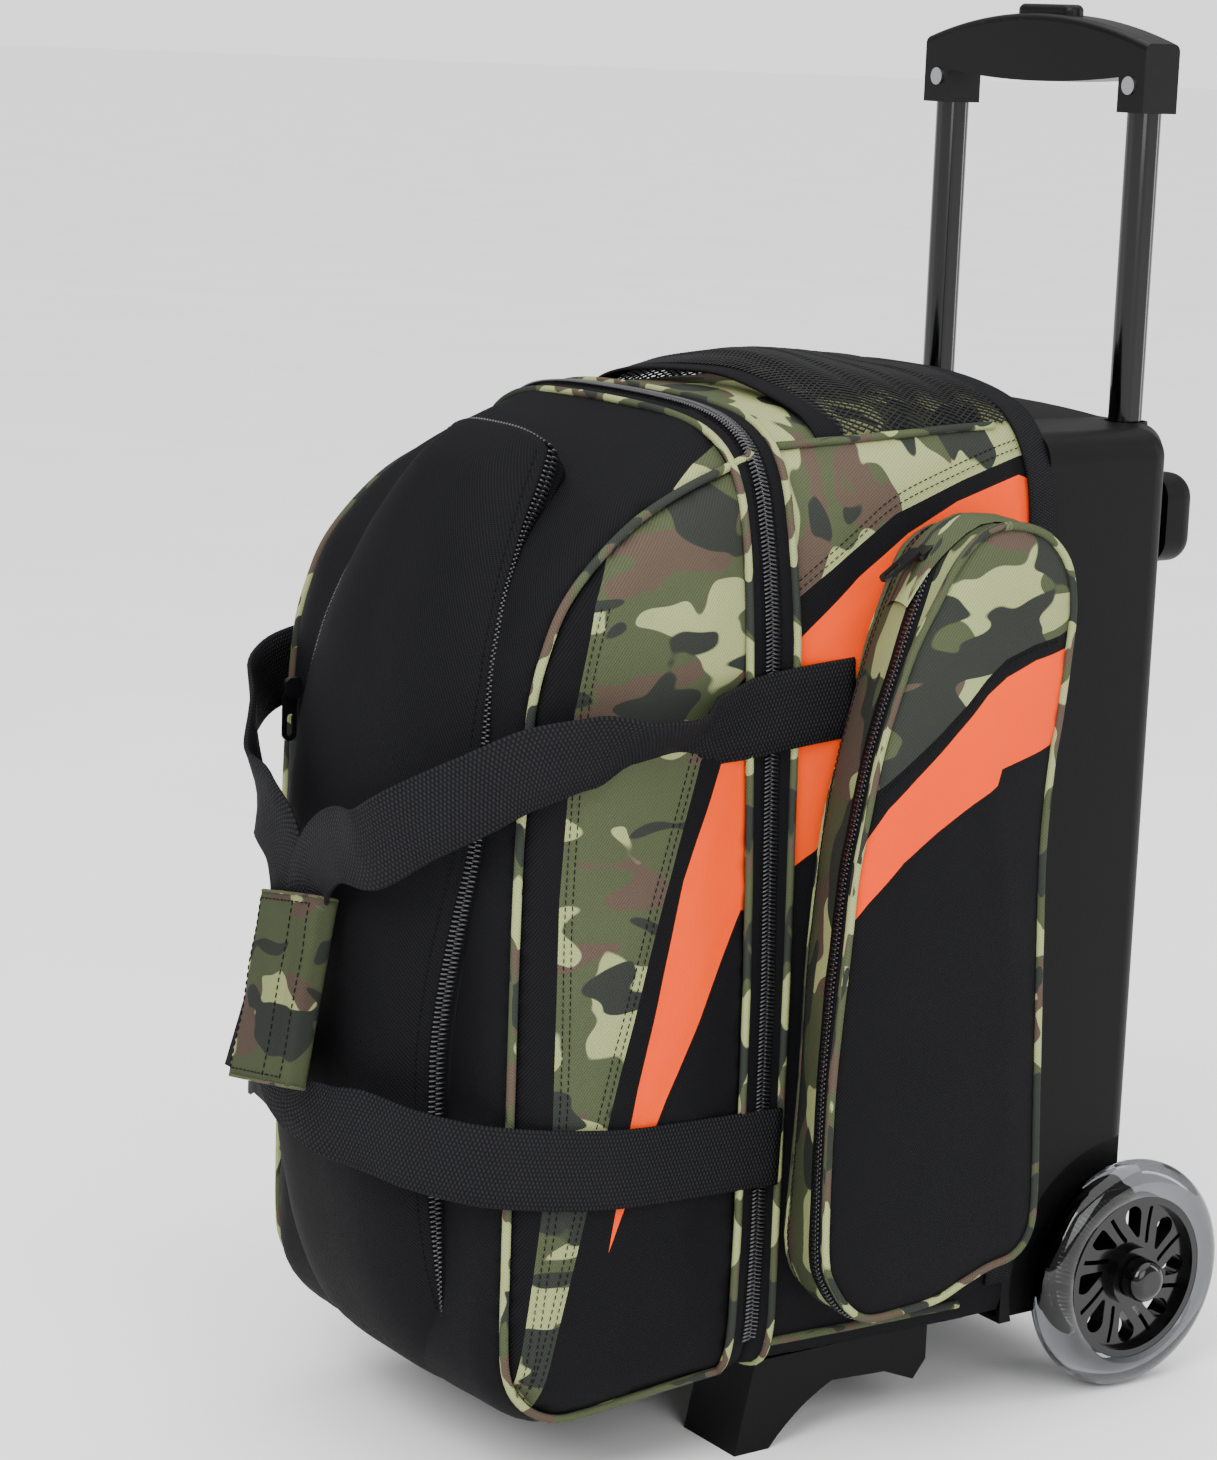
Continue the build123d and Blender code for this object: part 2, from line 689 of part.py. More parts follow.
# ---- grip ----
with BuildPart() as grip_form:
    with BuildSketch(front_plane(tube_y + grip_depth / 2)):
        with BuildLine():
            Polyline((-grip_inner, grip_height + socket_height * 0.5), (-grip_inner, grip_height),
                     (-grip_outer, grip_height), (-grip_outer, grip_height + socket_height))
            ThreePointArc((-grip_outer, grip_height + socket_height), (0, grip_mid_top),
                          (grip_outer, grip_height + socket_height))
            Polyline((grip_outer, grip_height + socket_height), (grip_outer, grip_height),
                     (grip_inner, grip_height), (grip_inner, grip_height + socket_height * 0.5))
            ThreePointArc((grip_inner, grip_height + socket_height * 0.5), (0, grip_height + grip_underside),
                          (-grip_inner, grip_height + socket_height * 0.5))
        make_face()
    extrude(amount=grip_depth)
    fillet(grip_form.edges().filter_by(Axis.Y, reverse=True).sort_by(Axis.Z)[-2:], grip_edge)

with BuildPart() as grip_space:
    with BuildSketch(Plane.XY.offset(tube_top)):
        with Locations((0, tube_y)):
            Rectangle(tube_spread + tube_width - 2 * grip_shell, 2 * (rod_radius + grip_shell))
    extrude(amount=grip_room)

with BuildPart() as button_hole:
    with BuildSketch(Plane.XY.offset(tube_top)):
        with Locations((0, tube_y)):
            SlotOverall(button_length + 2 * button_clearance, button_width + 2 * button_clearance)
    extrude(amount=grip_mid_top)

with BuildPart() as grip_base:
    add(grip_form)
    with BuildSketch(Plane.XY.offset(grip_split)):
        with Locations((0, tube_y)):
            Rectangle(4 * grip_outer, 4 * grip_depth)
    extrude(amount=grip_height, mode=Mode.SUBTRACT)
    for side in sides.values():
        with BuildSketch(Plane.XY.offset(grip_height)):
            with Locations((side * tube_spread / 2, tube_y)):
                oval(0)
        extrude(amount=tube_insert, mode=Mode.SUBTRACT)
    add(grip_space, mode=Mode.SUBTRACT)
    add(bores, mode=Mode.SUBTRACT)
save(grip_base.part, "grip_lower_shell")

with BuildPart() as grip_cover:
    add(grip_form)
    with BuildSketch(Plane.XY.offset(grip_split)):
        with Locations((0, tube_y)):
            Rectangle(4 * grip_outer, 4 * grip_depth)
    extrude(amount=-grip_height, mode=Mode.SUBTRACT)
    add(grip_space, mode=Mode.SUBTRACT)
    add(button_hole, mode=Mode.SUBTRACT)
save(grip_cover.part, "grip_upper_shell")

with BuildPart() as button:
    with BuildSketch(Plane.XY.offset(bar_low + bar_height)):
        with Locations((0, tube_y)):
            SlotOverall(button_length, button_width)
    extrude(amount=grip_mid_top + button_rise - bar_low - bar_height)
    fillet(button.faces().sort_by(Axis.Z)[-1].edges(), button_rise * 0.7)
save(button.part, "push_button")

# cross bar and two rods, pushed down by the button
with BuildPart() as release:
    with BuildSketch(Plane.XY.offset(bar_low)):
        with Locations((0, tube_y)):
            Rectangle(tube_spread - 2 * rod_offset + 2 * rod_radius, 2 * rod_radius)
    extrude(amount=bar_height)
    for side in sides.values():
        with BuildSketch(Plane.XY.offset(inner_low + rod_foot)):
            with Locations((side * (tube_spread / 2 - rod_offset), tube_y)):
                Circle(rod_radius)
        extrude(amount=bar_low + bar_height - inner_low - rod_foot)
save(release.part, "release_rods")

# screws that pin the tubes in the grip's sockets, front and back
with BuildPart() as grip_screws:
    add(bores)
    for side in sides.values():
        for facing in (-1, 1):
            with BuildSketch(front_plane(tube_y + facing * grip_depth / 2)):
                with Locations((side * tube_spread / 2, grip_height + screw_height)):
                    Circle(screw_head)
            extrude(amount=-facing * screw_rise)
save(grip_screws.part, "grip_screws")

# =============== inside ===============
floor_top = fabric_bottom + fabric_wall + board
lining_front = tube_y - tube_depth / 2 - outer_grow - lining_gap - lining
ball_y = lining_front - ball_clearance - ball_diameter / 2
shelf_low = floor_top + ball_lift + ball_diameter + headroom
inner_half = tub_half - tub_wall
board_half = tub_half - board_inset

with BuildPart() as base_board:
    with BuildSketch(Plane.XY.offset(floor_top - board)):
        with Locations((0, (fabric_front + board + axle_y - axle_housing - board) / 2)):
            Rectangle(2 * board_half, axle_y - axle_housing - fabric_front - 2 * board)
    extrude(amount=board)
save(base_board.part, "base_board")

with BuildPart() as shelf:
    with BuildSketch(Plane.XY.offset(shelf_low)) as sheet:
        with Locations((0, (fabric_front + board + lining_front) / 2)):
            Rectangle(2 * inner_half, lining_front - fabric_front - board)
        fillet(sheet.vertices().group_by(Axis.Y)[-1], tub_corner)
    extrude(amount=board)
save(shelf.part, "ball_shelf")

with BuildPart() as brackets:
    for side in sides.values():
        with BuildSketch(Plane.XY.offset(shelf_low - bracket_height)):
            with Locations((side * (inner_half - bracket_width / 2), (tub_front + lining_front) / 2)):
                Rectangle(bracket_width, lining_front - tub_front - bracket_width)
        extrude(amount=bracket_height)
save(brackets.part, "shelf_brackets")

for name, low in {"lower": floor_top, "upper": shelf_low + board}.items():
    with BuildPart() as cup:
        with BuildSketch(Plane.XY.offset(low)):
            with Locations((0, ball_y)):
                RectangleRounded(2 * cup_half, 2 * cup_half, cup_corner)
        extrude(amount=cup_height)
        with Locations((0, ball_y, low + ball_lift + ball_diameter / 2)):
            Sphere(ball_diameter / 2 + ball_clearance, mode=Mode.SUBTRACT)
    save(cup.part, f"ball_cup_{name}")

with BuildPart() as lining_panel:
    with BuildSketch(front_plane(lining_front + lining)):
        with Locations((0, (outer_low + tub_top - tub_edge) / 2)):
            Rectangle(2 * board_half, tub_top - tub_edge - outer_low)
    extrude(amount=lining)
save(lining_panel.part, "lining_panel")

# =============== webbing loops and their wrap ===============
strap_x = fabric_half + piping_radius / 2 + seam_gap + webbing_thickness / 2
with BuildPart() as anchors:
    for side in sides.values():
        for rise in anchor_heights:
            add(ribbon([(side * strap_x, fabric_front + anchor_start, rise, side, 0),
                        (side * strap_x, zip_line + seam_gap / 2, rise, side, 0)],
                       webbing_width, webbing_thickness))
save(anchors.part, "strap_anchors")

for name, side in sides.items():
    wrap_edge = wrap_centre + side * wrap_half
    with BuildPart() as loops:
        for rise, route, end in zip(anchor_heights, (upper_route, lower_route), (upper_end, lower_end)):
            stations = [(side * strap_x, zip_line - seam_gap / 2, rise, side, 0),
                        (side * strap_x, zip_line - straight_run, rise, side, 0)]
            for inwards, forward, height, face_x, face_y in route:
                stations.append((side * (strap_x - inwards), front_face - forward, height,
                                 side * face_x, face_y))
            stations.append((wrap_edge + side * end[0], front_face - end[1], end[2], 0, -1))
            add(ribbon(stations, webbing_width, webbing_thickness))
    save(loops.part, f"carry_loop_{name}")

with BuildPart() as wrap:
    with BuildSketch(side_plane(wrap_centre - wrap_half)):
        with BuildLine():
            Polyline(*[(axle_y - handle_reach - forward, height)
                       for forward, height in wrap_profile], close=True)
        make_face()
    extrude(amount=2 * wrap_half)
save(wrap.part, "handle_wrap")

# =============== zip sliders and their pull tabs ===============
for name, (spot, along, out) in zip_pulls.items():
    base_plane = Plane(origin=spot, x_dir=along, z_dir=out)
    with BuildPart() as slider:
        with BuildSketch(base_plane.offset(-slider_height)):
            with Locations((-slider_length / 2 + pin_radius, 0)):
                RectangleRounded(slider_length, slider_width, slider_width / 3)
        extrude(amount=slider_height - pin_radius - slider_clearance)
    save(slider.part, f"{name}_slider")
    with BuildPart() as pull:
        with BuildSketch(base_plane.offset(-pull_thickness / 2)):
            with Locations((pull_length / 2 - pin_radius, 0)):
                RectangleRounded(pull_length, pull_width, pull_width / 2.2)
            with Locations((pull_length * 0.62, 0)):
                SlotOverall(pull_length * 0.45, pull_width * 0.4, mode=Mode.SUBTRACT)
        extrude(amount=pull_thickness)
    save(pull.part, f"{name}_pull")
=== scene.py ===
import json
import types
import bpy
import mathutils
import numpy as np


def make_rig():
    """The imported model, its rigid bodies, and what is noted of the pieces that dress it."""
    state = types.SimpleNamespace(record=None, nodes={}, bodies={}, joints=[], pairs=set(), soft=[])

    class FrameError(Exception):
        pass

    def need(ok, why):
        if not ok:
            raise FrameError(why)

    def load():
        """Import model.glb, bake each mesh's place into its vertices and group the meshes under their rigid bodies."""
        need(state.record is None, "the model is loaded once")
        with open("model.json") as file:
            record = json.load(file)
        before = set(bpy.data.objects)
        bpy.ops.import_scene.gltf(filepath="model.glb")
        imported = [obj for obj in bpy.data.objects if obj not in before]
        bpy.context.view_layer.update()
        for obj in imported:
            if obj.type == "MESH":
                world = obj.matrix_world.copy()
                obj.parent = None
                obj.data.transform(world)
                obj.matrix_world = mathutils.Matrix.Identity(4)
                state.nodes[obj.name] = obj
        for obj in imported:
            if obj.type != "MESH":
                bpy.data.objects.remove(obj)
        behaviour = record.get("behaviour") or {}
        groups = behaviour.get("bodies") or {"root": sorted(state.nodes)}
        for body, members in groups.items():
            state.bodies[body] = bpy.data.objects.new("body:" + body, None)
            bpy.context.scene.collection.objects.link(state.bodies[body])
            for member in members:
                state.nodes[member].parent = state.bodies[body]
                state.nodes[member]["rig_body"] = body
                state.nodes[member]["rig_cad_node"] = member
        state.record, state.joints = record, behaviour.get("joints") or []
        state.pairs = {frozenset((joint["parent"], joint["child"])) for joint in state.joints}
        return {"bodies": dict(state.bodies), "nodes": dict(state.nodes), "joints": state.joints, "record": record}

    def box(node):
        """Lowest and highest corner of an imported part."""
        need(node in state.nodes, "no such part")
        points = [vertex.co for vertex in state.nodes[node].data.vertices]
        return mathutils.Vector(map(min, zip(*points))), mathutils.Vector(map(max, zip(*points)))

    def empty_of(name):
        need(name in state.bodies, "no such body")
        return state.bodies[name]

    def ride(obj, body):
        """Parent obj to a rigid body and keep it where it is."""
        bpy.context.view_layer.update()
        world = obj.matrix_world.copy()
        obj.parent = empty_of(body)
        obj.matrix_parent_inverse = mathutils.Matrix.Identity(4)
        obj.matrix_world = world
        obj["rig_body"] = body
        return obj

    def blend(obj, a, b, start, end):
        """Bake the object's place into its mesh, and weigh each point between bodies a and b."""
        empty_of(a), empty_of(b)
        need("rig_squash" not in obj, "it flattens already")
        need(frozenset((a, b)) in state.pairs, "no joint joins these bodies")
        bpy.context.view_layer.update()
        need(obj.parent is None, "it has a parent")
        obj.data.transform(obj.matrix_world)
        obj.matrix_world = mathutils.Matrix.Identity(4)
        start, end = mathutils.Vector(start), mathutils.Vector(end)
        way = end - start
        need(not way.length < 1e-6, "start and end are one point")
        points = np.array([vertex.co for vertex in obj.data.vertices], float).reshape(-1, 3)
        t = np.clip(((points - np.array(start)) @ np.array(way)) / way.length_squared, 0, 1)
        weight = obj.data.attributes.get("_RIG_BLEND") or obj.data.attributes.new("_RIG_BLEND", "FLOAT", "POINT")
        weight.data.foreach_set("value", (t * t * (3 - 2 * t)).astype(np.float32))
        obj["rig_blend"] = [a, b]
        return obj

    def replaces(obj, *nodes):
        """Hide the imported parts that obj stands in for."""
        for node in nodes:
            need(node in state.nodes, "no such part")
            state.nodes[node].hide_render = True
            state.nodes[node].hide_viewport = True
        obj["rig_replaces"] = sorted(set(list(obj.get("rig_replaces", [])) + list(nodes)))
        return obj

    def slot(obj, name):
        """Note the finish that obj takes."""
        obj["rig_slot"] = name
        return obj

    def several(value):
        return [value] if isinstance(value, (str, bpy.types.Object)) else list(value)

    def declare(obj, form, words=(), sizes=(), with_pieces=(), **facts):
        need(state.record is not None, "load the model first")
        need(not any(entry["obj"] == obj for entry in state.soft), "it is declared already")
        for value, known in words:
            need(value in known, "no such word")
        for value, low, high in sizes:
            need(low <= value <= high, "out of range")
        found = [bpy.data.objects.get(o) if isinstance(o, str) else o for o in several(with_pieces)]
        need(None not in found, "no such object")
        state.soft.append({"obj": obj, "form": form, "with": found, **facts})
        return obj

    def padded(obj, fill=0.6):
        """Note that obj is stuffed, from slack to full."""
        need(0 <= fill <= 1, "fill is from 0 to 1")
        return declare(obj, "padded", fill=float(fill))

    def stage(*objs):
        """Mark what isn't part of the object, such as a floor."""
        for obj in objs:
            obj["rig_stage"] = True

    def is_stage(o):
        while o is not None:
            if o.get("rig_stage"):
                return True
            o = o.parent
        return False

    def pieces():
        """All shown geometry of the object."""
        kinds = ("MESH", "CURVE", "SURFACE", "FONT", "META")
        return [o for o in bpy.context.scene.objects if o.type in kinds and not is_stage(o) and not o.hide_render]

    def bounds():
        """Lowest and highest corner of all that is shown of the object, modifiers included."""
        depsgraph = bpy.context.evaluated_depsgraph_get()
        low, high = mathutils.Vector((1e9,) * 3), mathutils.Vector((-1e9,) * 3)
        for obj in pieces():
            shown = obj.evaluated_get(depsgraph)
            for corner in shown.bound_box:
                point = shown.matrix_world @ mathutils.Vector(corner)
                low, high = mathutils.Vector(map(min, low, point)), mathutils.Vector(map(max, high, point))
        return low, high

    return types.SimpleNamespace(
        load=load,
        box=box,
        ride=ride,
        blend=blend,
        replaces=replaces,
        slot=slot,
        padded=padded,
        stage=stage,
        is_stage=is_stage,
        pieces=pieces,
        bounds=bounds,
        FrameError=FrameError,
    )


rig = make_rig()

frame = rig.load()

import bpy, json, math
from mathutils import Matrix, Vector, noise
from mathutils.geometry import delaunay_2d_cdt

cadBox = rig.bounds()
print("frame loaded:", len(frame["nodes"]), "nodes")

# camera and studio are in metres; every length below them is in millimetres until a mesh is made
view = {"place": (1.4710, -1.06655, 0.7230), "turn": 55.439, "rise": 11.353, "roll": 2.077, "lens": 86.67}
studio = {"floor": 200.0, "sky": 0.5, "backdrop": 1.64, "sun": 3.6,
          # where it hangs, what it points at, its size, its power
          "lamps": {"key": ((1.3, -2.4, 2.4), (0, 0, 0.3), (1.8, 1.8), 110),
                    "side": ((3.1, -0.3, 1.5), (0, 0, 0.35), (2.0, 2.0), 55),
                    "strip": ((1.2, 2.3, 1.1), (0, 0.15, 0.5), (0.35, 2.0), 20)}}


def makeCamera():
    turn, rise, roll = (math.radians(view[k]) for k in ("turn", "rise", "roll"))
    right = Vector((math.cos(turn), math.sin(turn), 0))
    back = Vector((math.sin(turn) * math.cos(rise), -math.cos(turn) * math.cos(rise), math.sin(rise)))
    up = back.cross(right)
    rolledRight = right * math.cos(roll) + up * math.sin(roll)
    rolledUp = up * math.cos(roll) - right * math.sin(roll)
    lens = bpy.data.cameras.new("camera")
    lens.sensor_width, lens.sensor_fit, lens.lens = 36.0, "AUTO", view["lens"]
    lens.clip_start, lens.clip_end = 0.05, 60.0
    camera = bpy.data.objects.new("camera", lens)
    bpy.context.collection.objects.link(camera)
    spin = Matrix((rolledRight, rolledUp, back)).transposed().to_4x4()
    camera.matrix_world = Matrix.Translation(Vector(view["place"])) @ spin
    bpy.context.scene.camera = camera


def makeLight(name, place, aim, size, power):
    lamp = bpy.data.lights.new(name, "AREA")
    lamp.shape, lamp.size, lamp.size_y, lamp.energy = "RECTANGLE", size[0], size[1], power
    light = bpy.data.objects.new(name, lamp)
    light.location = Vector(place)
    light.rotation_euler = (Vector(aim) - Vector(place)).to_track_quat("-Z", "Y").to_euler()
    bpy.context.collection.objects.link(light)


# numbers, lines and outlines
def clamp(value, low=0.0, high=1.0):
    return max(low, min(high, value))


def ease(value, low=0.0, high=1.0):
    t = clamp((value - low) / (high - low))
    return t * t * (3 - 2 * t)


def hexColour(text, gain=1.0):
    parts = [int(text[i:i + 2], 16) / 255 for i in (1, 3, 5)]
    return [clamp(((c + 0.055) / 1.055) ** 2.4 * gain) for c in parts] + [1.0]


class Track:
    # a smooth line through points, read by distance along it
    def __init__(self, points, step=4.0, closed=False, smooth=True):
        points = [Vector(p) for p in points]
        knots = points + [points[0]] if closed else points
        if smooth:
            dense = []
            last = len(knots) - 1
            for i in range(last):
                a = knots[i - 1] if i else (knots[-2] if closed else knots[0])
                b, c = knots[i], knots[i + 1]
                d = knots[i + 2] if i + 2 <= last else (knots[1] if closed else knots[-1])
                count = max(2, int((c - b).length / 2.0))
                for n in range(count):
                    t = n / count
                    dense.append(0.5 * ((2 * b) + (c - a) * t + (2 * a - 5 * b + 4 * c - d) * t * t
                                        + (3 * b - a - 3 * c + d) * t ** 3))
            dense.append(knots[-1].copy())
        else:
            dense = knots
        self.dense, self.reach = dense, [0.0]
        for p, q in zip(dense, dense[1:]):
            self.reach.append(self.reach[-1] + (q - p).length)
        self.length, self.closed = self.reach[-1], closed
        count = max(2, round(self.length / step))
        self.points = [self.at(self.length * i / count) for i in range(count + (0 if closed else 1))]

    def at(self, s):
        s = s % self.length if self.closed else clamp(s, 0.0, self.length)
        low, high = 0, len(self.reach) - 1
        while high - low > 1:
            mid = (low + high) // 2
            low, high = (mid, high) if self.reach[mid] <= s else (low, mid)
        span = self.reach[high] - self.reach[low]
        return self.dense[low].lerp(self.dense[high], (s - self.reach[low]) / span if span else 0.0)

    def near(self, point):
        # (distance, place along the line) of the nearest of the even points
        best = min(range(len(self.points)), key=lambda i: (self.points[i] - point).length_squared)
        around = len(self.points)
        result = (1e9, 0.0)
        for k in (best - 1, best):
            if not self.closed and (k < 0 or k + 1 >= around):
                continue
            p, q = self.points[k % around], self.points[(k + 1) % around]
            run = q - p
            t = clamp((point - p).dot(run) / max(run.length_squared, 1e-9))
            gap = (point - p - run * t).length
            if gap < result[0]:
                result = (gap, (k + t) / (around if self.closed else around - 1))
        return result


def inside(point, loop):
    x, y = point
    hit = False
    for (ax, ay), (bx, by) in zip(loop, loop[1:] + loop[:1]):
        if (ay > y) != (by > y) and x < (bx - ax) * (y - ay) / (by - ay) + ax:
            hit = not hit
    return hit


def ripple(x, y, z, scale, seed=0.0):
    return noise.noise(Vector((x / scale + seed, y / scale - seed, z / scale + 2 * seed)))


class Wire:
    # a socket that takes part in ordinary arithmetic
    def __init__(self, finish, socket):
        self.finish, self.socket = finish, socket

    def step(self, operation, *others, flip=False):
        terms = [self, *others]
        if flip:
            terms.reverse()
        return self.finish.add("ShaderNodeMath", {"operation": operation}, dict(enumerate(terms)))

    def __add__(self, other): return self.step("ADD", other)
    def __radd__(self, other): return self.step("ADD", other)
    def __sub__(self, other): return self.step("SUBTRACT", other)
    def __rsub__(self, other): return self.step("SUBTRACT", other, flip=True)
    def __mul__(self, other): return self.step("MULTIPLY", other)
    def __rmul__(self, other): return self.step("MULTIPLY", other)
    def __gt__(self, other): return self.step("GREATER_THAN", other)
    def __abs__(self): return self.step("ABSOLUTE")
    def sine(self): return self.step("SINE")
    def saw(self): return self.step("FRACT")
    def limit(self): return self.step("MAXIMUM", 0.0).step("MINIMUM", 1.0)


class Finish:
    def __init__(self, name, **constants):
        self.made = bpy.data.materials.new(name)
        self.made.use_nodes = True
        self.nodes, self.links = self.made.node_tree.nodes, self.made.node_tree.links
        self.shader = next(n for n in self.nodes if n.type == "BSDF_PRINCIPLED")
        for key, value in constants.items():
            self.shader.inputs[key.replace("_", " ")].default_value = value

    def add(self, kind, settings=None, sockets=None, out=0):
        node = self.nodes.new(kind)
        for key, value in (settings or {}).items():
            if key == "stops":
                ramp = node.color_ramp
                while len(ramp.elements) < len(value):
                    ramp.elements.new(0.5)
                for stop, (place, tone) in zip(ramp.elements, value):
                    stop.position, stop.color = place, tone
            else:
                setattr(node, key, value)
        for key, value in (sockets or {}).items():
            if isinstance(value, Wire):
                self.links.new(value.socket, node.inputs[key])
            else:
                node.inputs[key].default_value = value
        return Wire(self, node.outputs[out])

    def feed(self, **sockets):
        for key, value in sockets.items():
            self.links.new(value.socket, self.shader.inputs[key.replace("_", " ")])

    def place(self, coords, scale=(1, 1, 1), shift=(0, 0, 0)):
        where = self.add("ShaderNodeTexCoord", out=coords)
        return self.add("ShaderNodeMapping", {}, {"Vector": where, "Scale": scale, "Location": shift})

    def parts(self, where):
        node = self.add("ShaderNodeSeparateXYZ", {}, {0: where}).socket.node
        return [Wire(self, node.outputs[i]) for i in range(3)]

    def cloud(self, where, scale, detail=2.0, rough=0.5, bend=0.0, out=0):
        return self.add("ShaderNodeTexNoise", {}, {"Vector": where, "Scale": scale, "Detail": detail,
                                                   "Roughness": rough, "Distortion": bend}, out)

    def blend(self, share, first, second, kind="MIX"):
        return self.add("ShaderNodeMix", {"data_type": "RGBA", "blend_type": kind},
                        {0: share, 6: first, 7: second}, 2)

    def bump(self, height, strength=0.5, depth=0.0005):
        return self.add("ShaderNodeBump", {}, {"Height": height, "Strength": strength, "Distance": depth})


camo = {"ground": "#444A35", "size": 0.8,
        # ink, where it lies in the noise, how much stays bare, stretch
        "inks": (("#4E4239", 3.1, 0.55, (0.75, 1.5, 1.0)), ("#8D9466", 7.7, 0.56, (0.85, 1.35, 1.0)),
                 ("#2C2F2B", 12.4, 0.565, (0.8, 1.5, 1.0)))}
blackThread = "#121214"
orange = {"deep": "#E03E00", "pale": "#EA4802"}


def camoColour(finish, where, size):
    # three inks printed on the ground colour: fingered islands of noise laid over each other
    colour = hexColour(camo["ground"])
    for ink, shift, cover, stretch in camo["inks"]:
        moved = finish.add("ShaderNodeMapping", {}, {"Vector": where, "Scale": stretch,
                                                     "Location": (shift, shift * 1.7, shift * 0.6)})
        warp = finish.cloud(moved, 30 / size, 0.0, 0.5, out=1)
        bent = finish.add("ShaderNodeVectorMath", {"operation": "SCALE"}, {0: warp, "Scale": 0.036 * size})
        bent = finish.add("ShaderNodeVectorMath", {"operation": "ADD"}, {0: moved, 1: bent})
        island = finish.cloud(bent, 17 / size, 1.0, 0.4)
        colour = finish.blend(((island - cover) * 110).limit(), colour, hexColour(ink))
    return colour


def clothFinish(name, kind, weave=1.7, shift=0.0, size=1.0, tone=1.0):
    # coarse polyester twill: diagonal ribs crossed by threads, with tone that drifts over the panel
    finish = Finish(name, Specular_IOR_Level=0.06)
    where = finish.place("UV", shift=(shift, shift * 0.7, 0))
    u, v, w = finish.parts(where)
    turn = 2 * math.pi / (weave / 1000)
    rib = ((u + v * 0.72 + w * 0.5) * turn).sine()
    thread = ((v - u * 0.85 - w * 0.4) * (turn * 1.25)).sine()
    grain = finish.cloud(where, 1500, 2.0, 0.7)
    drift = finish.cloud(where, 11, 3.0, 0.6)
    height = (rib * 0.5 + 0.5) * 0.6 + (thread * 0.5 + 0.5) * 0.4 + grain * 0.5
    printed = kind == "orange"   # a flat, smooth print
    if kind == "camo":
        colour = camoColour(finish, where, camo["size"] * size)
    elif printed:
        colour = finish.blend(((finish.cloud(where, 5, 1.0) - 0.35) * 2.4).limit(),
                              hexColour(orange["deep"]), hexColour(orange["pale"]))
    else:
        colour = hexColour(blackThread)
    # the colour follows the weave's height, lighter on the rib tops and darker in the grooves: painted highlight and
    # painted shade; depth sets how strongly, while grain and drift are the cloth's own uneven tone
    depth = {"camo": 0.5, "orange": 0.06, "lining": 0.25}.get(kind, 1.1)
    # a tone below 1 darkens the whole copy of the cloth: painted shade
    shade = (1.06 - depth * 0.9) * tone + height * depth * tone + (drift - 0.5) * (0.1 if printed else 0.3)
    grey = finish.add("ShaderNodeCombineColor", {}, {0: shade, 1: shade, 2: shade})
    finish.feed(Base_Color=finish.blend(1.0, colour, grey, "MULTIPLY"),
                Roughness=(0.42 if printed else 0.62) + grain * 0.2,
                Normal=finish.bump(height, 0.18 if printed else 0.5, 0.00035))
    return finish.made


def webbingFinish(name, pitch=2.1):
    # plain weave: ribs across the band, every second lane half a rib further on
    finish = Finish(name, Specular_IOR_Level=0.08)
    where = finish.place("UV")
    u, v, _ = finish.parts(where)
    lane = v * (500 / pitch)
    odd = ((lane.saw() - 0.5) > 0.0) * 0.5
    rib = ((u * (1000 / pitch) + odd) * (2 * math.pi)).sine() * 0.5 + 0.5
    groove = abs((lane * (2 * math.pi)).sine())
    grain = finish.cloud(where, 1800, 2.0, 0.7)
    height = rib * (groove * 0.7 + 0.3) + grain * 0.25
    # the colour follows the height, lighter on the rib tops and darker in the grooves: painted highlight and painted
    # shade; the grain is the band's own
    shade = 0.15 + height * 2.1
    tone = finish.add("ShaderNodeCombineColor", {}, {0: shade, 1: shade, 2: shade})
    finish.feed(Base_Color=finish.blend(1.0, hexColour(blackThread, 1.2), tone, "MULTIPLY"),
                Roughness=0.6 + grain * 0.2, Normal=finish.bump(height, 0.8, 0.0008))
    return finish.made


def plasticFinish(name, colour, rough, grain=0.0, scuff=0.06, coat=0.0, metal=0.0, shine=0.5):
    # moulded plastic or paint: fine pebble, faint scuffs that change the gloss
    finish = Finish(name, Coat_Weight=coat, Coat_Roughness=0.08, Metallic=metal, Specular_IOR_Level=shine)
    where = finish.place("Object")
    pebble = finish.cloud(where, 900, 2.0, 0.6)
    patch = finish.cloud(where, 9, 4.0, 0.65)
    streak = finish.cloud(finish.place("Object", (260, 260, 12)), 1.0, 2.0, 0.6)
    rub = ((streak - 0.62) * 5).limit() * ((patch - 0.5) * 4).limit()
    finish.feed(Roughness=rough + (patch - 0.5) * scuff * 2 + rub * scuff,
                Base_Color=finish.blend(rub * 0.35 + (patch - 0.4) * 0.25, hexColour(colour),
                                        hexColour(colour, 1.9)),
                Normal=finish.bump(pebble * grain + patch * 0.15, 0.35, 0.0003))
    return finish.made


def clearFinish(name):
    finish = Finish(name, Transmission_Weight=1.0, IOR=1.46)
    where = finish.place("Object")
    haze = finish.cloud(where, 22, 3.0, 0.6)
    finish.feed(Base_Color=finish.blend(haze, hexColour("#5F6165"), hexColour("#7B7D81")),
                Roughness=0.01 + haze * 0.03,
                Normal=finish.bump(haze + finish.cloud(where, 160, 2.0) * 0.1, 0.12, 0.0006))
    return finish.made


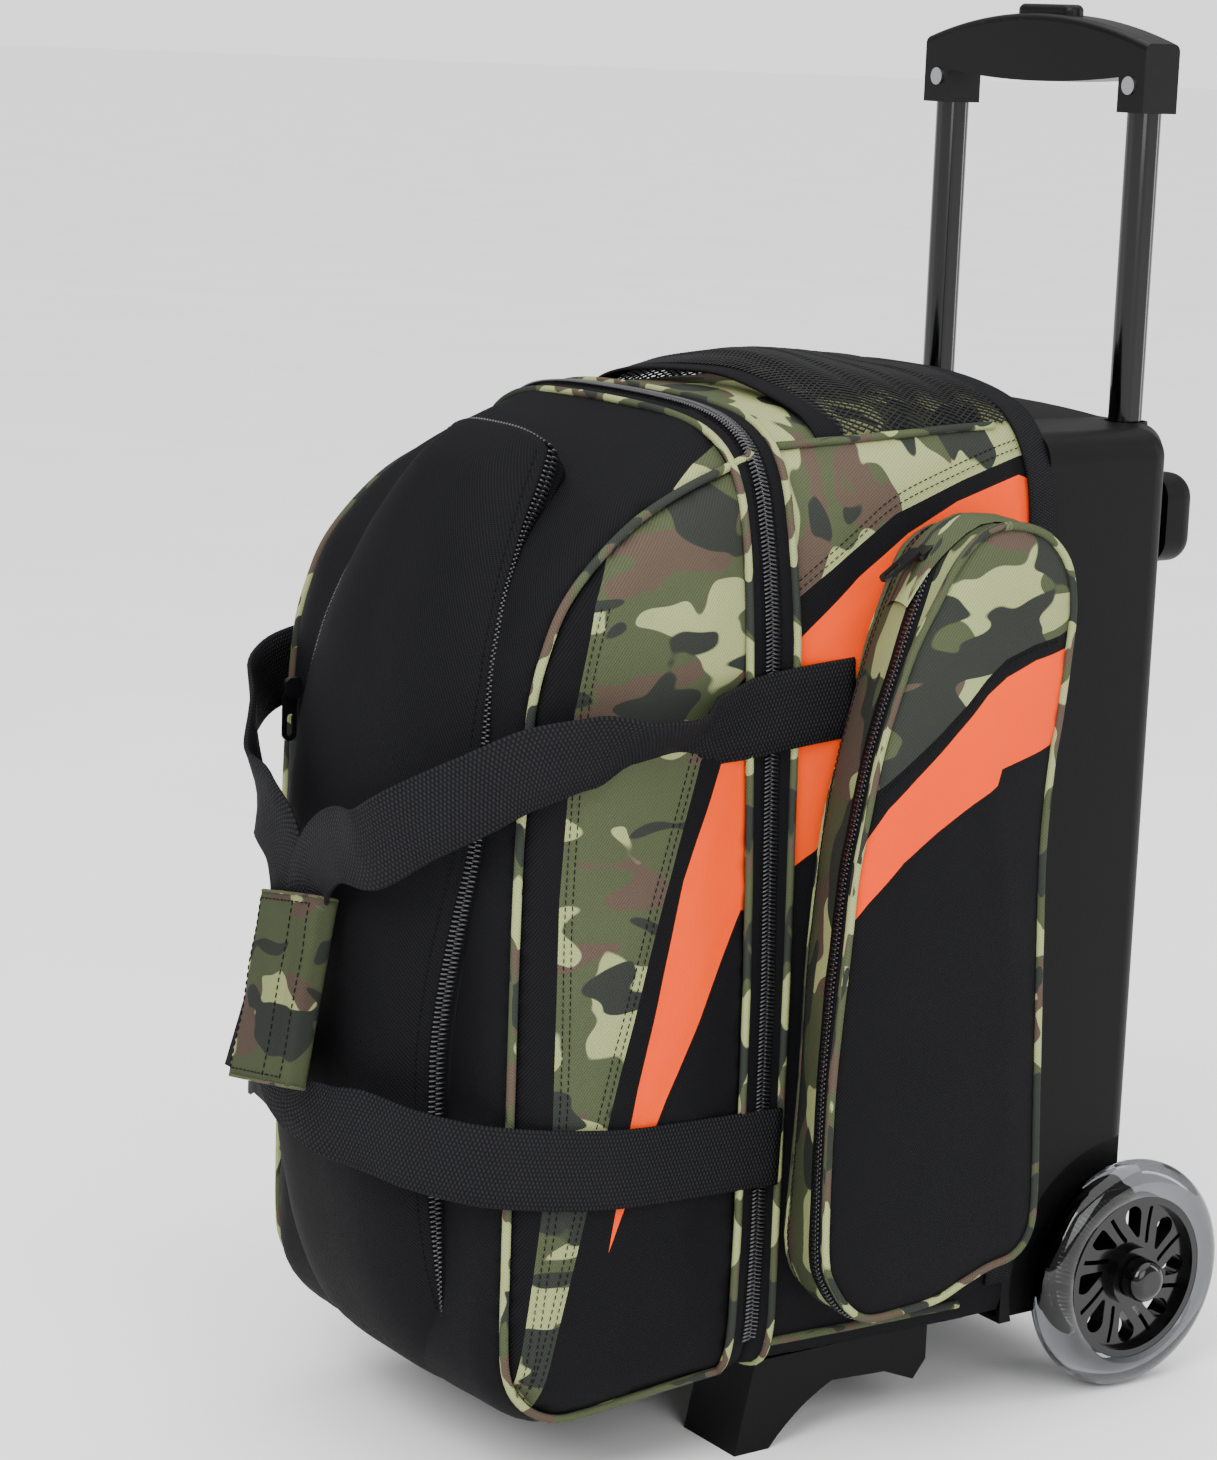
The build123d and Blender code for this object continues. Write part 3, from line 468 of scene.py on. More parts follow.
finishes = {
    "black": clothFinish("black twill", "black"),
    "camo": clothFinish("woodland twill", "camo"),
    "camoTrim": clothFinish("woodland trim", "camo", shift=0.37, size=0.5),
    # a copy of the woodland twill darkened to 0.7 of its tone: painted shade, worn by the side pocket walls and the
    # handle wrap
    "camoWrap": clothFinish("woodland wrap", "camo", shift=0.81, size=0.9, tone=0.7),
    "orange": clothFinish("orange print", "orange"),
    "lining": clothFinish("lining cloth", "lining", weave=0.7),
    "tape": clothFinish("zip tape", "black", weave=1.4, shift=0.2),
    "webbing": webbingFinish("ribbed webbing"),
    "binding": webbingFinish("ribbed binding", 1.5),
    "coil": plasticFinish("zip coil", "#1D1D20", 0.27, 0.1, coat=0.3),
    "thread": clothFinish("stitch thread", "black", weave=0.5, shift=0.5),
    "net": plasticFinish("net strands", "#0E0E10", 0.55, 0.3, shine=0.2),
    "tub": plasticFinish("moulded tub", "#0A0A0B", 0.46, 1.0, 0.05, shine=0.1),
    "gloss": plasticFinish("gloss nylon", "#060607", 0.16, 0.0, 0.03, coat=0.25, shine=0.3),
    "grip": plasticFinish("satin grip", "#0A0A0B", 0.36, 0.6, 0.05, shine=0.16),
    "tube": plasticFinish("black tube", "#08080A", 0.16, 0.0, 0.02, coat=0.4, metal=0.6),
    "bareTube": plasticFinish("bare aluminium", "#9A9AA0", 0.35, 0.0, 0.1, metal=1.0),
    "steel": plasticFinish("bright zinc", "#A9A9AC", 0.28, 0.0, 0.12, metal=1.0),
    "darkMetal": plasticFinish("black coated zinc", "#17171A", 0.3, 0.0, 0.1, metal=0.5),
    "board": plasticFinish("black board", "#2B2B2D", 0.7, 1.0),
    "clear": clearFinish("smoky urethane"),
}
print("finishes made:", len(finishes))


# the frame's material slot that a finish stands for, where a piece doesn't name another
slots = {"black": "body_fabric", "tape": "body_fabric", "thread": "body_fabric", "camoTrim": "camo_fabric",
         "camoWrap": "camo_fabric", "webbing": "webbing", "binding": "webbing", "coil": "zip_coil",
         "net": "mesh"}


def makeMesh(name, points, faces, skin, body, uvs=None, picks=None, slot=None):
    mesh = bpy.data.meshes.new(name)
    mesh.from_pydata([tuple(c / 1000 for c in p) for p in points], [], faces)
    skins = [skin] if isinstance(skin, str) else skin
    for key in skins:
        mesh.materials.append(finishes[key])
    if picks:
        mesh.polygons.foreach_set("material_index", picks)
    if uvs:
        layer = mesh.uv_layers.new(name="UVMap")
        for loop in mesh.loops:
            u, v = uvs[loop.vertex_index]
            layer.data[loop.index].uv = (u / 1000, v / 1000)
    mesh.polygons.foreach_set("use_smooth", [True] * len(mesh.polygons))
    mesh.update()
    piece = bpy.data.objects.new(name, mesh)
    bpy.context.collection.objects.link(piece)
    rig.ride(piece, body) if isinstance(body, str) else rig.blend(piece, *body)
    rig.slot(piece, slot or slots[skins[0]])
    return piece


def cutCloth(name, outline, form, body, regions, spacing, thick, seam):
    # black cloth cut to a flat outline, with printed or sewn-on regions, laid on form(u, v) -> (point, normal)
    points, edges, faces = [], [], []
    for loop in [outline] + [loop for key, loop in regions]:
        first = len(points)
        for (ax, ay), (bx, by) in zip(loop, loop[1:] + loop[:1]):
            count = max(1, round(math.hypot(bx - ax, by - ay) / spacing))
            points += [Vector((ax + (bx - ax) * n / count, ay + (by - ay) * n / count)) for n in range(count)]
        edges += [(i, i + 1) for i in range(first, len(points) - 1)] + [(len(points) - 1, first)]
        if loop is outline:
            faces = [list(range(first, len(points)))]
    cells = {}
    for p in points:
        cells.setdefault((int(p.x // spacing), int(p.y // spacing)), []).append(p)
    low = [min(p[i] for p in outline) for i in (0, 1)]
    high = [max(p[i] for p in outline) for i in (0, 1)]
    row = 0
    v = low[1]
    while v < high[1]:
        u = low[0] + (row % 2) * spacing / 2
        while u < high[0]:
            p = Vector((u, v))
            near = [q for i in (-1, 0, 1) for j in (-1, 0, 1)
                    for q in cells.get((int(u // spacing) + i, int(v // spacing) + j), ())]
            if inside((u, v), outline) and all((p - q).length > spacing * 0.55 for q in near):
                points.append(p)
            u += spacing
        v += spacing * 0.866
        row += 1
    flat, _, cut, _, _, _ = delaunay_2d_cdt(points, edges, faces, 1, 1e-4)
    laid = [form(p.x, p.y) for p in flat]
    picks, triangles = [], []
    for triangle in cut:
        a, b, c = (flat[i] for i in triangle)
        middle = (a + b + c) / 3
        if abs((b - a).cross(c - a)) < 1e-3 or not inside(middle, outline):
            continue
        (pa, up), (pb, _), (pc, _) = (laid[i] for i in triangle)
        turned = (pb - pa).cross(pc - pa).dot(up) < 0
        triangles.append(tuple(reversed(triangle)) if turned else tuple(triangle))
        pick = 0
        for number, (key, loop) in enumerate(regions, 1):
            if inside(middle, loop):
                pick = number
        picks.append(pick)
    skins = ["black"] + [key for key, loop in regions] + ["lining"]
    seams = [Track([(*p, 0) for p in loop], closed=True, smooth=False) for key, loop in regions]
    outer, inner = [], []
    for p, (spot, normal) in zip(flat, laid):
        dip = 0.0
        for line in seams:
            dip = max(dip, math.exp(-(line.near(Vector((p.x, p.y, 0)))[0] / 2.6) ** 2))
        outer.append(spot - normal * dip * seam)
        inner.append(spot - normal * thick)
    count = len(flat)
    allFaces = triangles + [tuple(reversed([i + count for i in t])) for t in triangles]
    picks += [len(skins) - 1] * len(triangles)
    used = {}
    for number, triangle in enumerate(triangles):
        for a, b in zip(triangle, triangle[1:] + triangle[:1]):
            used.setdefault((min(a, b), max(a, b)), []).append((a, b, number))
    for run in used.values():
        if len(run) == 1:
            a, b, number = run[0]
            allFaces.append((b, a, a + count, b + count))
            picks.append(picks[number])
    uvs = [(p.x, p.y) for p in flat] * 2
    return makeMesh(name, outer + inner, allFaces, skins, body, uvs, picks)


def gridForm(name, rows, skin, body, uvs, closedU=False, closedV=False, slot=None, picks=None):
    # quads through rows of points
    high, wide = len(rows), len(rows[0])
    faces = []
    for i in range(high - (0 if closedV else 1)):
        for j in range(wide - (0 if closedU else 1)):
            a, b = i * wide + j, i * wide + (j + 1) % wide
            c, d = ((i + 1) % high) * wide + (j + 1) % wide, ((i + 1) % high) * wide + j
            faces.append((a, b, c, d))
    points = [p for row in rows for p in row]
    return makeMesh(name, points, faces, skin, body, [uv for row in uvs for uv in row], picks, slot)


def frames(points, closed=False):
    # two side directions at each point, carried along without twist
    count = len(points)
    ways = []
    for i in range(count):
        a = points[i - 1] if i or closed else points[0]
        b = points[(i + 1) % count] if i < count - 1 or closed else points[-1]
        ways.append((b - a).normalized())
    side = Vector((0, 0, 1))
    if abs(side.dot(ways[0])) > 0.95:
        side = Vector((1, 0, 0))
    result = []
    for way in ways:
        side = (side - way * side.dot(way)).normalized()
        result.append((side, way.cross(side)))
    return result


def pipeAlong(name, track, radius, body):
    # camouflage piping
    sides, points = 8, track.points
    rows, uvs, run = [], [], 0.0
    for i, (p, (a, b)) in enumerate(zip(points, frames(points, track.closed))):
        run += (p - points[i - 1]).length if i else 0
        rows.append([p + a * math.cos(t) * radius + b * math.sin(t) * radius
                     for t in (2 * math.pi * k / sides for k in range(sides))])
        uvs.append([(run, 2 * math.pi * radius * k / sides) for k in range(sides)])
    if not track.closed:
        rows = [[points[0]] * sides] + rows + [[points[-1]] * sides]
        uvs = [uvs[0]] + uvs + [uvs[-1]]
    return gridForm(name, rows, "camoTrim", body, uvs, closedU=True, closedV=track.closed)


def bandAlong(name, stations, width, thick, skin, body, slot=None, cup=0.0):
    # flat band; a station is a point, the direction across the band there and, if it varies, the width
    line = Track([s[0] for s in stations], 5.0)
    marks = [line.near(s[0])[1] for s in stations]
    rows, uvs = [], []
    count = len(line.points)
    over = (-0.5, -0.25, 0, 0.25, 0.5)
    shape = [(x, -0.5) for x in over] + [(0.52, 0.0)] + [(-x, 0.5) for x in over] + [(-0.52, 0.0)]
    for i, p in enumerate(line.points):
        share = i / (count - 1)
        k = max(n for n in range(len(marks) - 1) if marks[n] <= share + 1e-6 or n == 0)
        t = ease(share, marks[k], max(marks[k + 1], marks[k] + 1e-6))
        side = stations[k][1].normalized().lerp(stations[k + 1][1].normalized(), t)
        way = (line.points[min(i + 1, count - 1)] - line.points[max(i - 1, 0)]).normalized()
        side = (side - way * side.dot(way)).normalized()
        out = side.cross(way)
        wide = stations[k][2] + (stations[k + 1][2] - stations[k][2]) * t if len(stations[0]) > 2 else width
        rows.append([p + side * x * wide + out * (y * thick + cup * (4 * x * x - 1)) for x, y in shape])
        uvs.append([(share * line.length, (x + 0.5) * width) for x, y in shape])
    rows = [[rows[0][0].lerp(rows[0][6], 0.5)] * 12] + rows + [[rows[-1][0].lerp(rows[-1][6], 0.5)] * 12]
    uvs = [uvs[0]] + uvs + [uvs[-1]]
    return gridForm(name, rows, skin, body, uvs, closedU=True, slot=slot)


class Heap:
    # many small solids of one finish gathered into one piece
    def __init__(self, name, skin, body):
        self.name, self.skin, self.body = name, skin, body
        self.points, self.faces = [], []

    def bar(self, start, end, wide, high, up):
        # short hexagonal rod with pinched ends
        way = (end - start).normalized()
        up = (up - way * up.dot(way)).normalized()
        side = way.cross(up)
        first = len(self.points)
        ring = [(math.cos(math.pi * k / 3), math.sin(math.pi * k / 3)) for k in range(6)]
        for at, size in ((0.0, 0.55), (0.18, 1.0), (0.82, 1.0), (1.0, 0.55)):
            centre = start.lerp(end, at)
            self.points += [centre + side * (x * wide / 2 * size) + up * (y * high / 2 * size) for x, y in ring]
        for r in range(3):
            for k in range(6):
                a = first + r * 6 + k
                b = first + r * 6 + (k + 1) % 6
                self.faces.append((a, b, b + 6, a + 6))
        self.faces.append(tuple(first + k for k in reversed(range(6))))
        self.faces.append(tuple(first + 18 + k for k in range(6)))

    def stitches(self, track, form=None, pitch=3.6, long=2.3, wide=0.55):
        # a row of stitches along a line; form gives the point and normal of a flat place
        s = pitch / 2
        while s < track.length - long:
            a, b, up = track.at(s), track.at(s + long), Vector((0, 0, 1))
            if form:
                (a, up), (b, _) = form(a.x, a.y), form(b.x, b.y)
            self.bar(a + up * 0.25, b + up * 0.25, wide, wide, up)
            s += pitch

    def make(self):
        print(self.name, len(self.faces), "faces")
        return makeMesh(self.name, self.points, self.faces, self.skin, self.body)


heaps = {
    "chassisThread": Heap("stitching_rear", "thread", "chassis"),
    "frontThread": Heap("stitching_front", "thread", "front_section"),
    "chassisTeeth": Heap("zip_teeth_rear", "coil", "chassis"),
    "frontTeeth": Heap("zip_teeth_front", "coil", "front_section"),
}


# stations along the bag and its outline in the front view
mm = 1000
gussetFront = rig.box("front_shell")[1].y * mm
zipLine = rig.box("front_zip_coil")[1].y * mm + 0.2
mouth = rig.box("rear_shell")[1].y * mm
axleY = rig.box("axle")[0].y * mm + 4.0
print("stations", round(gussetFront, 2), round(zipLine, 2), round(mouth, 2), round(axleY, 2))


def middleOf(node, axis):
    low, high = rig.box(node)
    return (low[axis] + high[axis]) / 2 * mm


rearPipe = middleOf("rear_piping", 1)
frontRing = Track((
    (0, 540), (30, 539.6), (60, 538), (85, 533.5), (103, 524), (114, 509), (120, 489), (123.5, 458),
    (124.8, 420), (125, 300), (125, 200), (125, 100), (124, 74), (119, 58), (107, 51), (88, 50), (0, 50)), 5.0)
rearRing = Track((
    (0, 549), (30, 548.5), (60, 545.5), (85, 540), (103, 532), (115, 518), (122, 502), (125.5, 478),
    (126, 440), (126, 300), (126, 200), (125.5, 100), (125, 74), (123.5, 60), (117, 52), (88, 49.5),
    (0, 49.5)), 5.0)
ringHalf = frontRing.length


def ringPoint(s, y):
    share = clamp((y - rearPipe) / (mouth - rearPipe))
    a = frontRing.at(abs(s))
    b = rearRing.at(abs(s) / ringHalf * rearRing.length)
    p = a.lerp(b, share)
    return Vector((math.copysign(p.x, s), y, p.y))


def normalOf(point, u, v, flip=1):
    a = point(u + 1.5, v) - point(u - 1.5, v)
    b = point(u, v + 1.5) - point(u, v - 1.5)
    return a.cross(b).normalized() * flip


def sideS(z):
    # distance round the front view at which the right side reaches this height
    low, high = 40.0, ringHalf - 130
    for _ in range(24):
        mid = (low + high) / 2
        low, high = (mid, high) if frontRing.at(mid).y > z else (low, mid)
    return low


# back half: one ring of cloth with a woodland top, orange flashes and black sides
rearCloth = {"thick": 4.6, "wave": 1.5, "belly": 3.0,
             "camoEdge": [(-30, 450), (2, 470), (31, 487), (75, 500), (114, 509), (132, 511)],
             "flash": [(-27.5, 430), (7, 458), (38, 477), (70, 490), (112, 500), (117, 498), (117, 468),
                       (73, 440), (23, 390), (-12, 323), (-24, 316), (-27, 330)],
             "topPiping": 523.0, "bottomPiping": 55.0}


def rearForm(s, y):
    spot, normal = ringPoint(s, y), normalOf(ringPoint, s, y)
    edge = ease(y, rearPipe, rearPipe + 30) * (1 - ease(y, mouth - 34, mouth - 6))
    flank = ease(abs(s), sideS(500), sideS(430)) * (1 - ease(abs(s), sideS(120), sideS(70)))
    swell = rearCloth["belly"] * flank * edge * (1 if abs(s) < ringHalf - 120 else 0)
    wave = rearCloth["wave"] * ripple(s, y, 0, 62, 3.3) * edge + 0.35 * ripple(s, y, 9, 17, 1.1) * edge
    return spot + normal * (swell + wave), normal


def mirrored(loop):
    return [(-u, v) for u, v in reversed(loop)]


def makeRearCloth():
    edge = [(sideS(z), y) for y, z in rearCloth["camoEdge"]]
    top = edge + mirrored(edge)
    flash = [(sideS(z), y) for y, z in rearCloth["flash"]]
    low, high = rearPipe - 6.0, mouth - 2.0
    outline = [(-ringHalf, low), (ringHalf, low), (ringHalf, high), (-ringHalf, high)]
    regions = [("camo", top), ("orange", flash), ("orange", mirrored(flash))]
    piece = cutCloth("rear_cloth", outline, rearForm, "chassis", regions, 8.0, rearCloth["thick"], 0.7)
    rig.replaces(piece, "rear_shell")
    thread = heaps["chassisThread"]
    for side in (1, -1):
        for inset in (4.0, 8.5):
            thread.stitches(Track([(side * (s - inset), y, 0) for s, y in edge]), rearForm)
        at = side * sideS(rearCloth["topPiping"])
        above = [rearForm(at, rearPipe - 5 + k * 8) for k in range(18)]
        below = [rearForm(side * sideS(rearCloth["bottomPiping"] - min(k, 5) * 0.5), rearPipe - 1 + k * 9)
                 for k in range(15)]
        for kind, spots, lift, radius in (("top", above, 1.0, 2.2), ("bottom", below, 0.8, 2.3)):
            line = Track([spot + normal * lift for spot, normal in spots], 5.0)
            pipeAlong(kind + "_piping_" + ("right" if side > 0 else "left"), line, radius, "chassis")


makeRearCloth()
print("rear cloth done")


# gusset: zip tapes, coil and the two piped edges
gusset = {"pipe": 2.1, "pitch": 2.1,
          "tooth": (0.7, 4.3, 1.35, 2.0),   # reach past the middle and into its own tape, width, height
          "hinge": 136.0,   # half of the run along the bottom that has no zip
          # across and out of one half's tape, as shares of its width and millimetres
          "tape": [(0.03, -2.2), (0.03, -0.8), (0.3, -0.2), (0.55, 0.35), (0.8, 0.75), (1.0, 0.5), (1.02, -3.0),
                   (0.1, -3.8)],
          # (height, forward or back) of the two outer seams and of the teeth, from the top down
          "front": [(560, -62), (490, -61), (430, -59), (311, -53.6), (256, -52), (134, -51), (40, -52.5)],
          "coil": [(560, -50), (490, -49), (430, -44.8), (311, -40.6), (256, -38.8), (134, -38.2), (40, -40)],
          "rear": [(560, -34.5), (490, -34), (430, -29.5), (311, -27.6), (256, -26.8), (134, -26.6),
                   (40, -26.3)]}


def seamAt(kind, z):
    table = gusset[kind]
    for (high, a), (low, b) in zip(table, table[1:]):
        if z >= low:
            return b + (a - b) * clamp((z - low) / (high - low))
    return table[-1][1]


def seamPoint(kind, s, lift, share=1.0, start="coil"):
    z = frontRing.at(abs(s)).y
    return ringAt(s, seamAt(start, z) * (1 - share) + seamAt(kind, z) * share, lift)


def ringAt(s, y, lift):
    # ahead of the front half's back edge the cloth falls away with the crown
    spot, out = ringPoint(s, y), normalOf(ringPoint, s, y)
    return spot + out * (lift - 0.45 * max(0.0, gussetFront - y) * max(0.0, out.z))


def makeGusset():
    count = 2 * int(ringHalf / 6)
    spots = [ringHalf * 2 * k / count - ringHalf for k in range(count + 1)]
    for kind, body in (("rear", "chassis"), ("front", "front_section")):
        over = 1.5 if kind == "front" else 0.3
        rows = [[seamPoint(kind, s, lift + over * clamp(share * 3), share) for share, lift in gusset["tape"]]
                for s in spots]
        uvs = [[(s, share * 17) for share, lift in gusset["tape"]] for s in spots]
        piece = gridForm("zip_tape_" + kind, rows, "tape", body, uvs, closedU=True)
        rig.replaces(piece, kind + "_zip_tape")
        ring = Track([seamPoint(kind, s, 0.9 + over * 0.7) for s in spots[:-1]], 5.0, True)
        piece = pipeAlong("gusset_piping_" + kind, ring, gusset["pipe"], body)
        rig.replaces(piece, kind + "_piping")
    foot = ringHalf - gusset["hinge"]
    past, own, wide, tall = gusset["tooth"]
    for key, sign in (("chassisTeeth", 1), ("frontTeeth", -1)):
        s = -foot
        while s < foot:
            at = s + (0 if sign > 0 else gusset["pitch"] / 2)
            spot, out = seamPoint("coil", at, 1.5), normalOf(ringPoint, at, zipLine)
            along = (seamPoint("coil", at + 2, 1.5) - spot).normalized()
            across = Vector((0, sign, 0)) + along * 0.3
            heaps[key].bar(spot - across * past, spot + across * own, wide, tall, out)
            s += gusset["pitch"]
    for body, kind in (("chassisThread", "rear"), ("frontThread", "front")):
        over = 1.8 if kind == "front" else 0.65
        row = Track([seamPoint(kind, s, over, 0.42) for s in spots if abs(s) < foot])
        heaps[body].stitches(row, pitch=3.4, long=2.2, wide=0.6)


makeGusset()
print("gusset done")


# webbing border and the net pocket on top
netPocket = {"near": 4.0, "binding": 15.0, "pitch": 3.3, "strand": 0.56, "lean": 0.62,
             "rise": 13.5, "border": (138.0, 16.0, 1.9)}   # border: bare half run below, width, thickness


def netPoint(s, y):
    spot, out = ringPoint(s, y), normalOf(ringPoint, s, y)
    half = sideS(rearCloth["topPiping"])
    dome = clamp(1 - (abs(s) / half) ** 2.2)
    # fullest a little behind the binding, then falling to the tub
    rise = netPocket["rise"] * ease(y, -12, 22) * (1 - 0.75 * ease(y, 24, mouth - 8))
    rise += 3.0 * (1 - ease(y, -10, 20))
    sag = 1.6 * ripple(s, y, 4, 48, 8.1) + 0.9 * math.sin(s / 17 + y / 23)
    return spot + out * (1.6 + dome * (rise + sag))


def makeTop():
    half = sideS(rearCloth["topPiping"])
    bare, wide, thick = netPocket["border"]
    foot = ringHalf - bare
    marks = [(ringAt(-foot + 2 * foot * k / 90, mouth - 7.6, 1.5), Vector((0, 1, 0))) for k in range(91)]
    border = bandAlong("webbing_edge", marks, wide, thick, "binding", "chassis")
    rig.replaces(border, "webbing_border")
    low, high = netPocket["near"], mouth - 14
    marks = [(netPoint(-half + 2 * half * k / 40, low - 3), Vector((0, 1, 0.12))) for k in range(41)]
    bandAlong("net_binding", marks, netPocket["binding"], 1.5, "black", "chassis", "webbing", cup=0.4)
    points, faces = [], []
    for lean in (netPocket["lean"], -netPocket["lean"]):
        start = -half - (high - low) * abs(lean)
        while start < half + (high - low) * abs(lean):
            row, y = [], low
            while y <= high + 1e-6:
                s = start + (y - low) * lean
                if abs(s) < half - 1:
                    # strands weave over and under each other
                    weave = math.copysign(0.35, lean) * math.sin(y * 1.9)
                    row.append(netPoint(s, y) + Vector((0, 0, weave)))
                y += 3.8
            if len(row) > 1:
                for i, (p, (a, b)) in enumerate(zip(row, frames(row))):
                    first = len(points)
                    points += [p + (a * x + b * z) * netPocket["strand"]
                               for x, z in ((1, 0), (0, 1), (-1, 0), (0, -1))]
                    if i:
                        faces += [(first - 4 + k, first - 4 + (k + 1) % 4, first + (k + 1) % 4, first + k)
                                  for k in range(4)]
            start += netPocket["pitch"]
    net = makeMesh("net_pocket", points, faces, "net", "chassis", slot="mesh")
    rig.replaces(net, "mesh_pocket")


makeTop()
print("top done")


ringWidth = [frontRing.at(sideS(z)).x for z in range(40, 561)]   # half width of the gusset at each height

# front half: a band of cloth swept over the side profile, and two side panels
frontHalf = {"half": 125.0, "crown": 3.0, "wave": 1.6, "thick": 4.4,
             # radii of the long edges, of their lower ends and of their top ends
             "right": 29.0, "left": 42.0, "low": 30.0, "top": 64.0,
             # woodland corner beside the gusset on top: from the middle and down from the top edge
             "corner": [(94, 1), (95, -14), (101, -34), (113, -60), (140, -60), (140, 1)]}
profile = Track((
    (0, 46), (30, 44), (60, 41.5), (85, 39.5), (103, 40.5), (118, 47), (130, 58), (137, 72), (139.5, 92),
    (140, 145), (140, 219), (140, 300), (138.8, 355), (134.8, 408), (127.5, 436), (117, 459), (99, 480),
    (76, 499), (45, 518), (18, 531), (0, 538.5)))


def cornerRadius(share, side):
    base = frontHalf["right"] if side > 0 else frontHalf["left"]
    low = (frontHalf["low"] - base) * (1 - ease(share, 0.0, 0.2))
    return base + (frontHalf["top"] - base) * ease(share, 0.86, 0.99) + low


def profileAt(t):
    p = profile.at(t)
    way = (profile.at(t + 2.5) - profile.at(t - 2.5)).normalized()
    return p, Vector((way.y, -way.x))


def bandPoint(a, t):
    share = t / profile.length
    radius = cornerRadius(share, a)
    flat = frontHalf["half"] - radius
    p, n = profileAt(t)
    x, inset = abs(a), 0.0
    if x > flat:
        angle = (x - flat) / radius
        x, inset = flat + radius * math.sin(angle), radius * (1 - math.cos(angle))
    rise = frontHalf["crown"] * (clamp(1 - (a / 118) ** 2) - 0.4) * ease(share, 0.12, 0.3)
    p = p + n * (rise - inset)
    return Vector((math.copysign(x, a), gussetFront - p.x, p.y))


def bandForm(a, t):
    share = t / profile.length
    out = normalOf(bandPoint, a, t)
    soft = ease(abs(a), 118, 96) if abs(a) > 96 else 1.0
    calm = ease(share, 0.03, 0.1) * (1 - ease(share, 0.9, 0.98))
    wave = frontHalf["wave"] * ripple(a, t, 1, 70, 5.7) + 0.4 * ripple(a, t, 2, 19, 2.2)
    return bandPoint(a, t) + out * wave * soft * calm, out


def seamReach(t, side):
    return frontHalf["half"] - cornerRadius(t / profile.length, side) * (1 - math.pi / 4)


def edgePoint(t, side):
    # where the band meets the side panel, in (forward, up) and across
    radius = cornerRadius(t / profile.length, side)
    p, n = profileAt(t)
    p = p - n * radius * (1 - math.cos(math.pi / 4))
    return p, frontHalf["half"] - radius * (1 - math.sin(math.pi / 4))


sidePrint = {"camo": [(77, 495), (46, 506), (15, 517), (-6, 522), (-6, 424), (21, 405), (36, 375), (62, 279),
                      (82, 196), (102, 112), (114, 58), (118, 36), (134, 36), (127, 60), (121, 116),
                      (112.5, 200), (113, 314), (108, 404), (97, 455), (86, 482)],
             "flash": [(21, 377), (8, 384), (-6, 386), (-6, 296), (5, 297), (48, 206), (66, 165), (79, 133),
                       (76, 150), (69, 194), (43, 317)],
             "stitched": (([(97, 455), (108, 404), (113, 314), (112.5, 200), (121, 116), (127, 60)], -1),
                          ([(24, 402), (36, 375), (62, 279), (82, 196), (102, 112), (112, 66)], 1)),
             "puff": 3.2}


def makeFrontBand():
    ts = [profile.length * k / 90 for k in range(91)]
    outline = [(seamReach(t, 1), t) for t in ts] + [(-seamReach(t, -1), t) for t in ts[::-1]]
    corner = [(a, profile.length + t) for a, t in frontHalf["corner"]]
    piece = cutCloth("front_band", outline, bandForm, "front_section",
                     [("camo", corner), ("camo", mirrored(corner))], 8.0, frontHalf["thick"], 0.6)
    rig.replaces(piece, "front_shell")


def panelForm(side):
    def point(f, z):
        gap, share = profile.near(Vector((f, z)))
        radius = cornerRadius(share, side)
        depth = clamp(gap / radius)
        x = frontHalf["half"] - radius + math.sqrt(max(radius ** 2 - (radius * (1 - depth)) ** 2, 0.0))
        inner = ease(gap, radius * 0.6, radius + 45)
        back = ease(f, 2, 34)
        puff = sidePrint["puff"] * inner * back
        dent = -3.0 * math.exp(-((f - 16) / 13) ** 2) * math.exp(-((z - 120) / 60) ** 2)
        wave = 1.5 * ripple(f, z, side, 58, 4.4) * inner * back + 0.35 * ripple(f, z, 3, 17, 7.7) * inner
        tuck = min(0.0, ringWidth[int(clamp(z, 40, 560)) - 40] - 0.4 - x) * (1 - ease(f, 10, 32))
        return Vector((side * (x + tuck + puff + dent * back + wave), gussetFront - f, z))

    def form(f, z):
        return point(f, z), normalOf(point, f, z, -side)
    return form


def makeSidePanel(side, word):
    ts = [profile.length * k / 110 for k in range(111)]
    line = [edgePoint(t, side)[0] for t in ts]
    outline = [(0.0, line[0].y)] + [(p.x, p.y) for p in line if p.x > 1.0] + [(0.0, line[-1].y)]
    form = panelForm(side)
    regions = [("camo", sidePrint["camo"]), ("orange", sidePrint["flash"])]
    thick = frontHalf["thick"]
    piece = cutCloth("front_side_" + word, outline, form, "front_section", regions, 7.0, thick, 0.7)
    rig.replaces(piece, "front_shell")
    pipe = []
    for t in ts:
        p, x = edgePoint(t, side)
        p = p + profileAt(t)[1] * 1.2
        pipe.append(Vector((side * (x + 1.2), gussetFront - max(p.x, -1.0), p.y)))
    pipeAlong("front_side_piping_" + word, Track(pipe, 4.5), 2.3, "front_section")
    for edge, sign in sidePrint["stitched"]:
        for inset in (3.0, 7.0):
            heaps["frontThread"].stitches(Track([(f + sign * inset, z, 0) for f, z in edge]), form)


makeFrontBand()
makeSidePanel(1, "right")
makeSidePanel(-1, "left")
print("front half done")


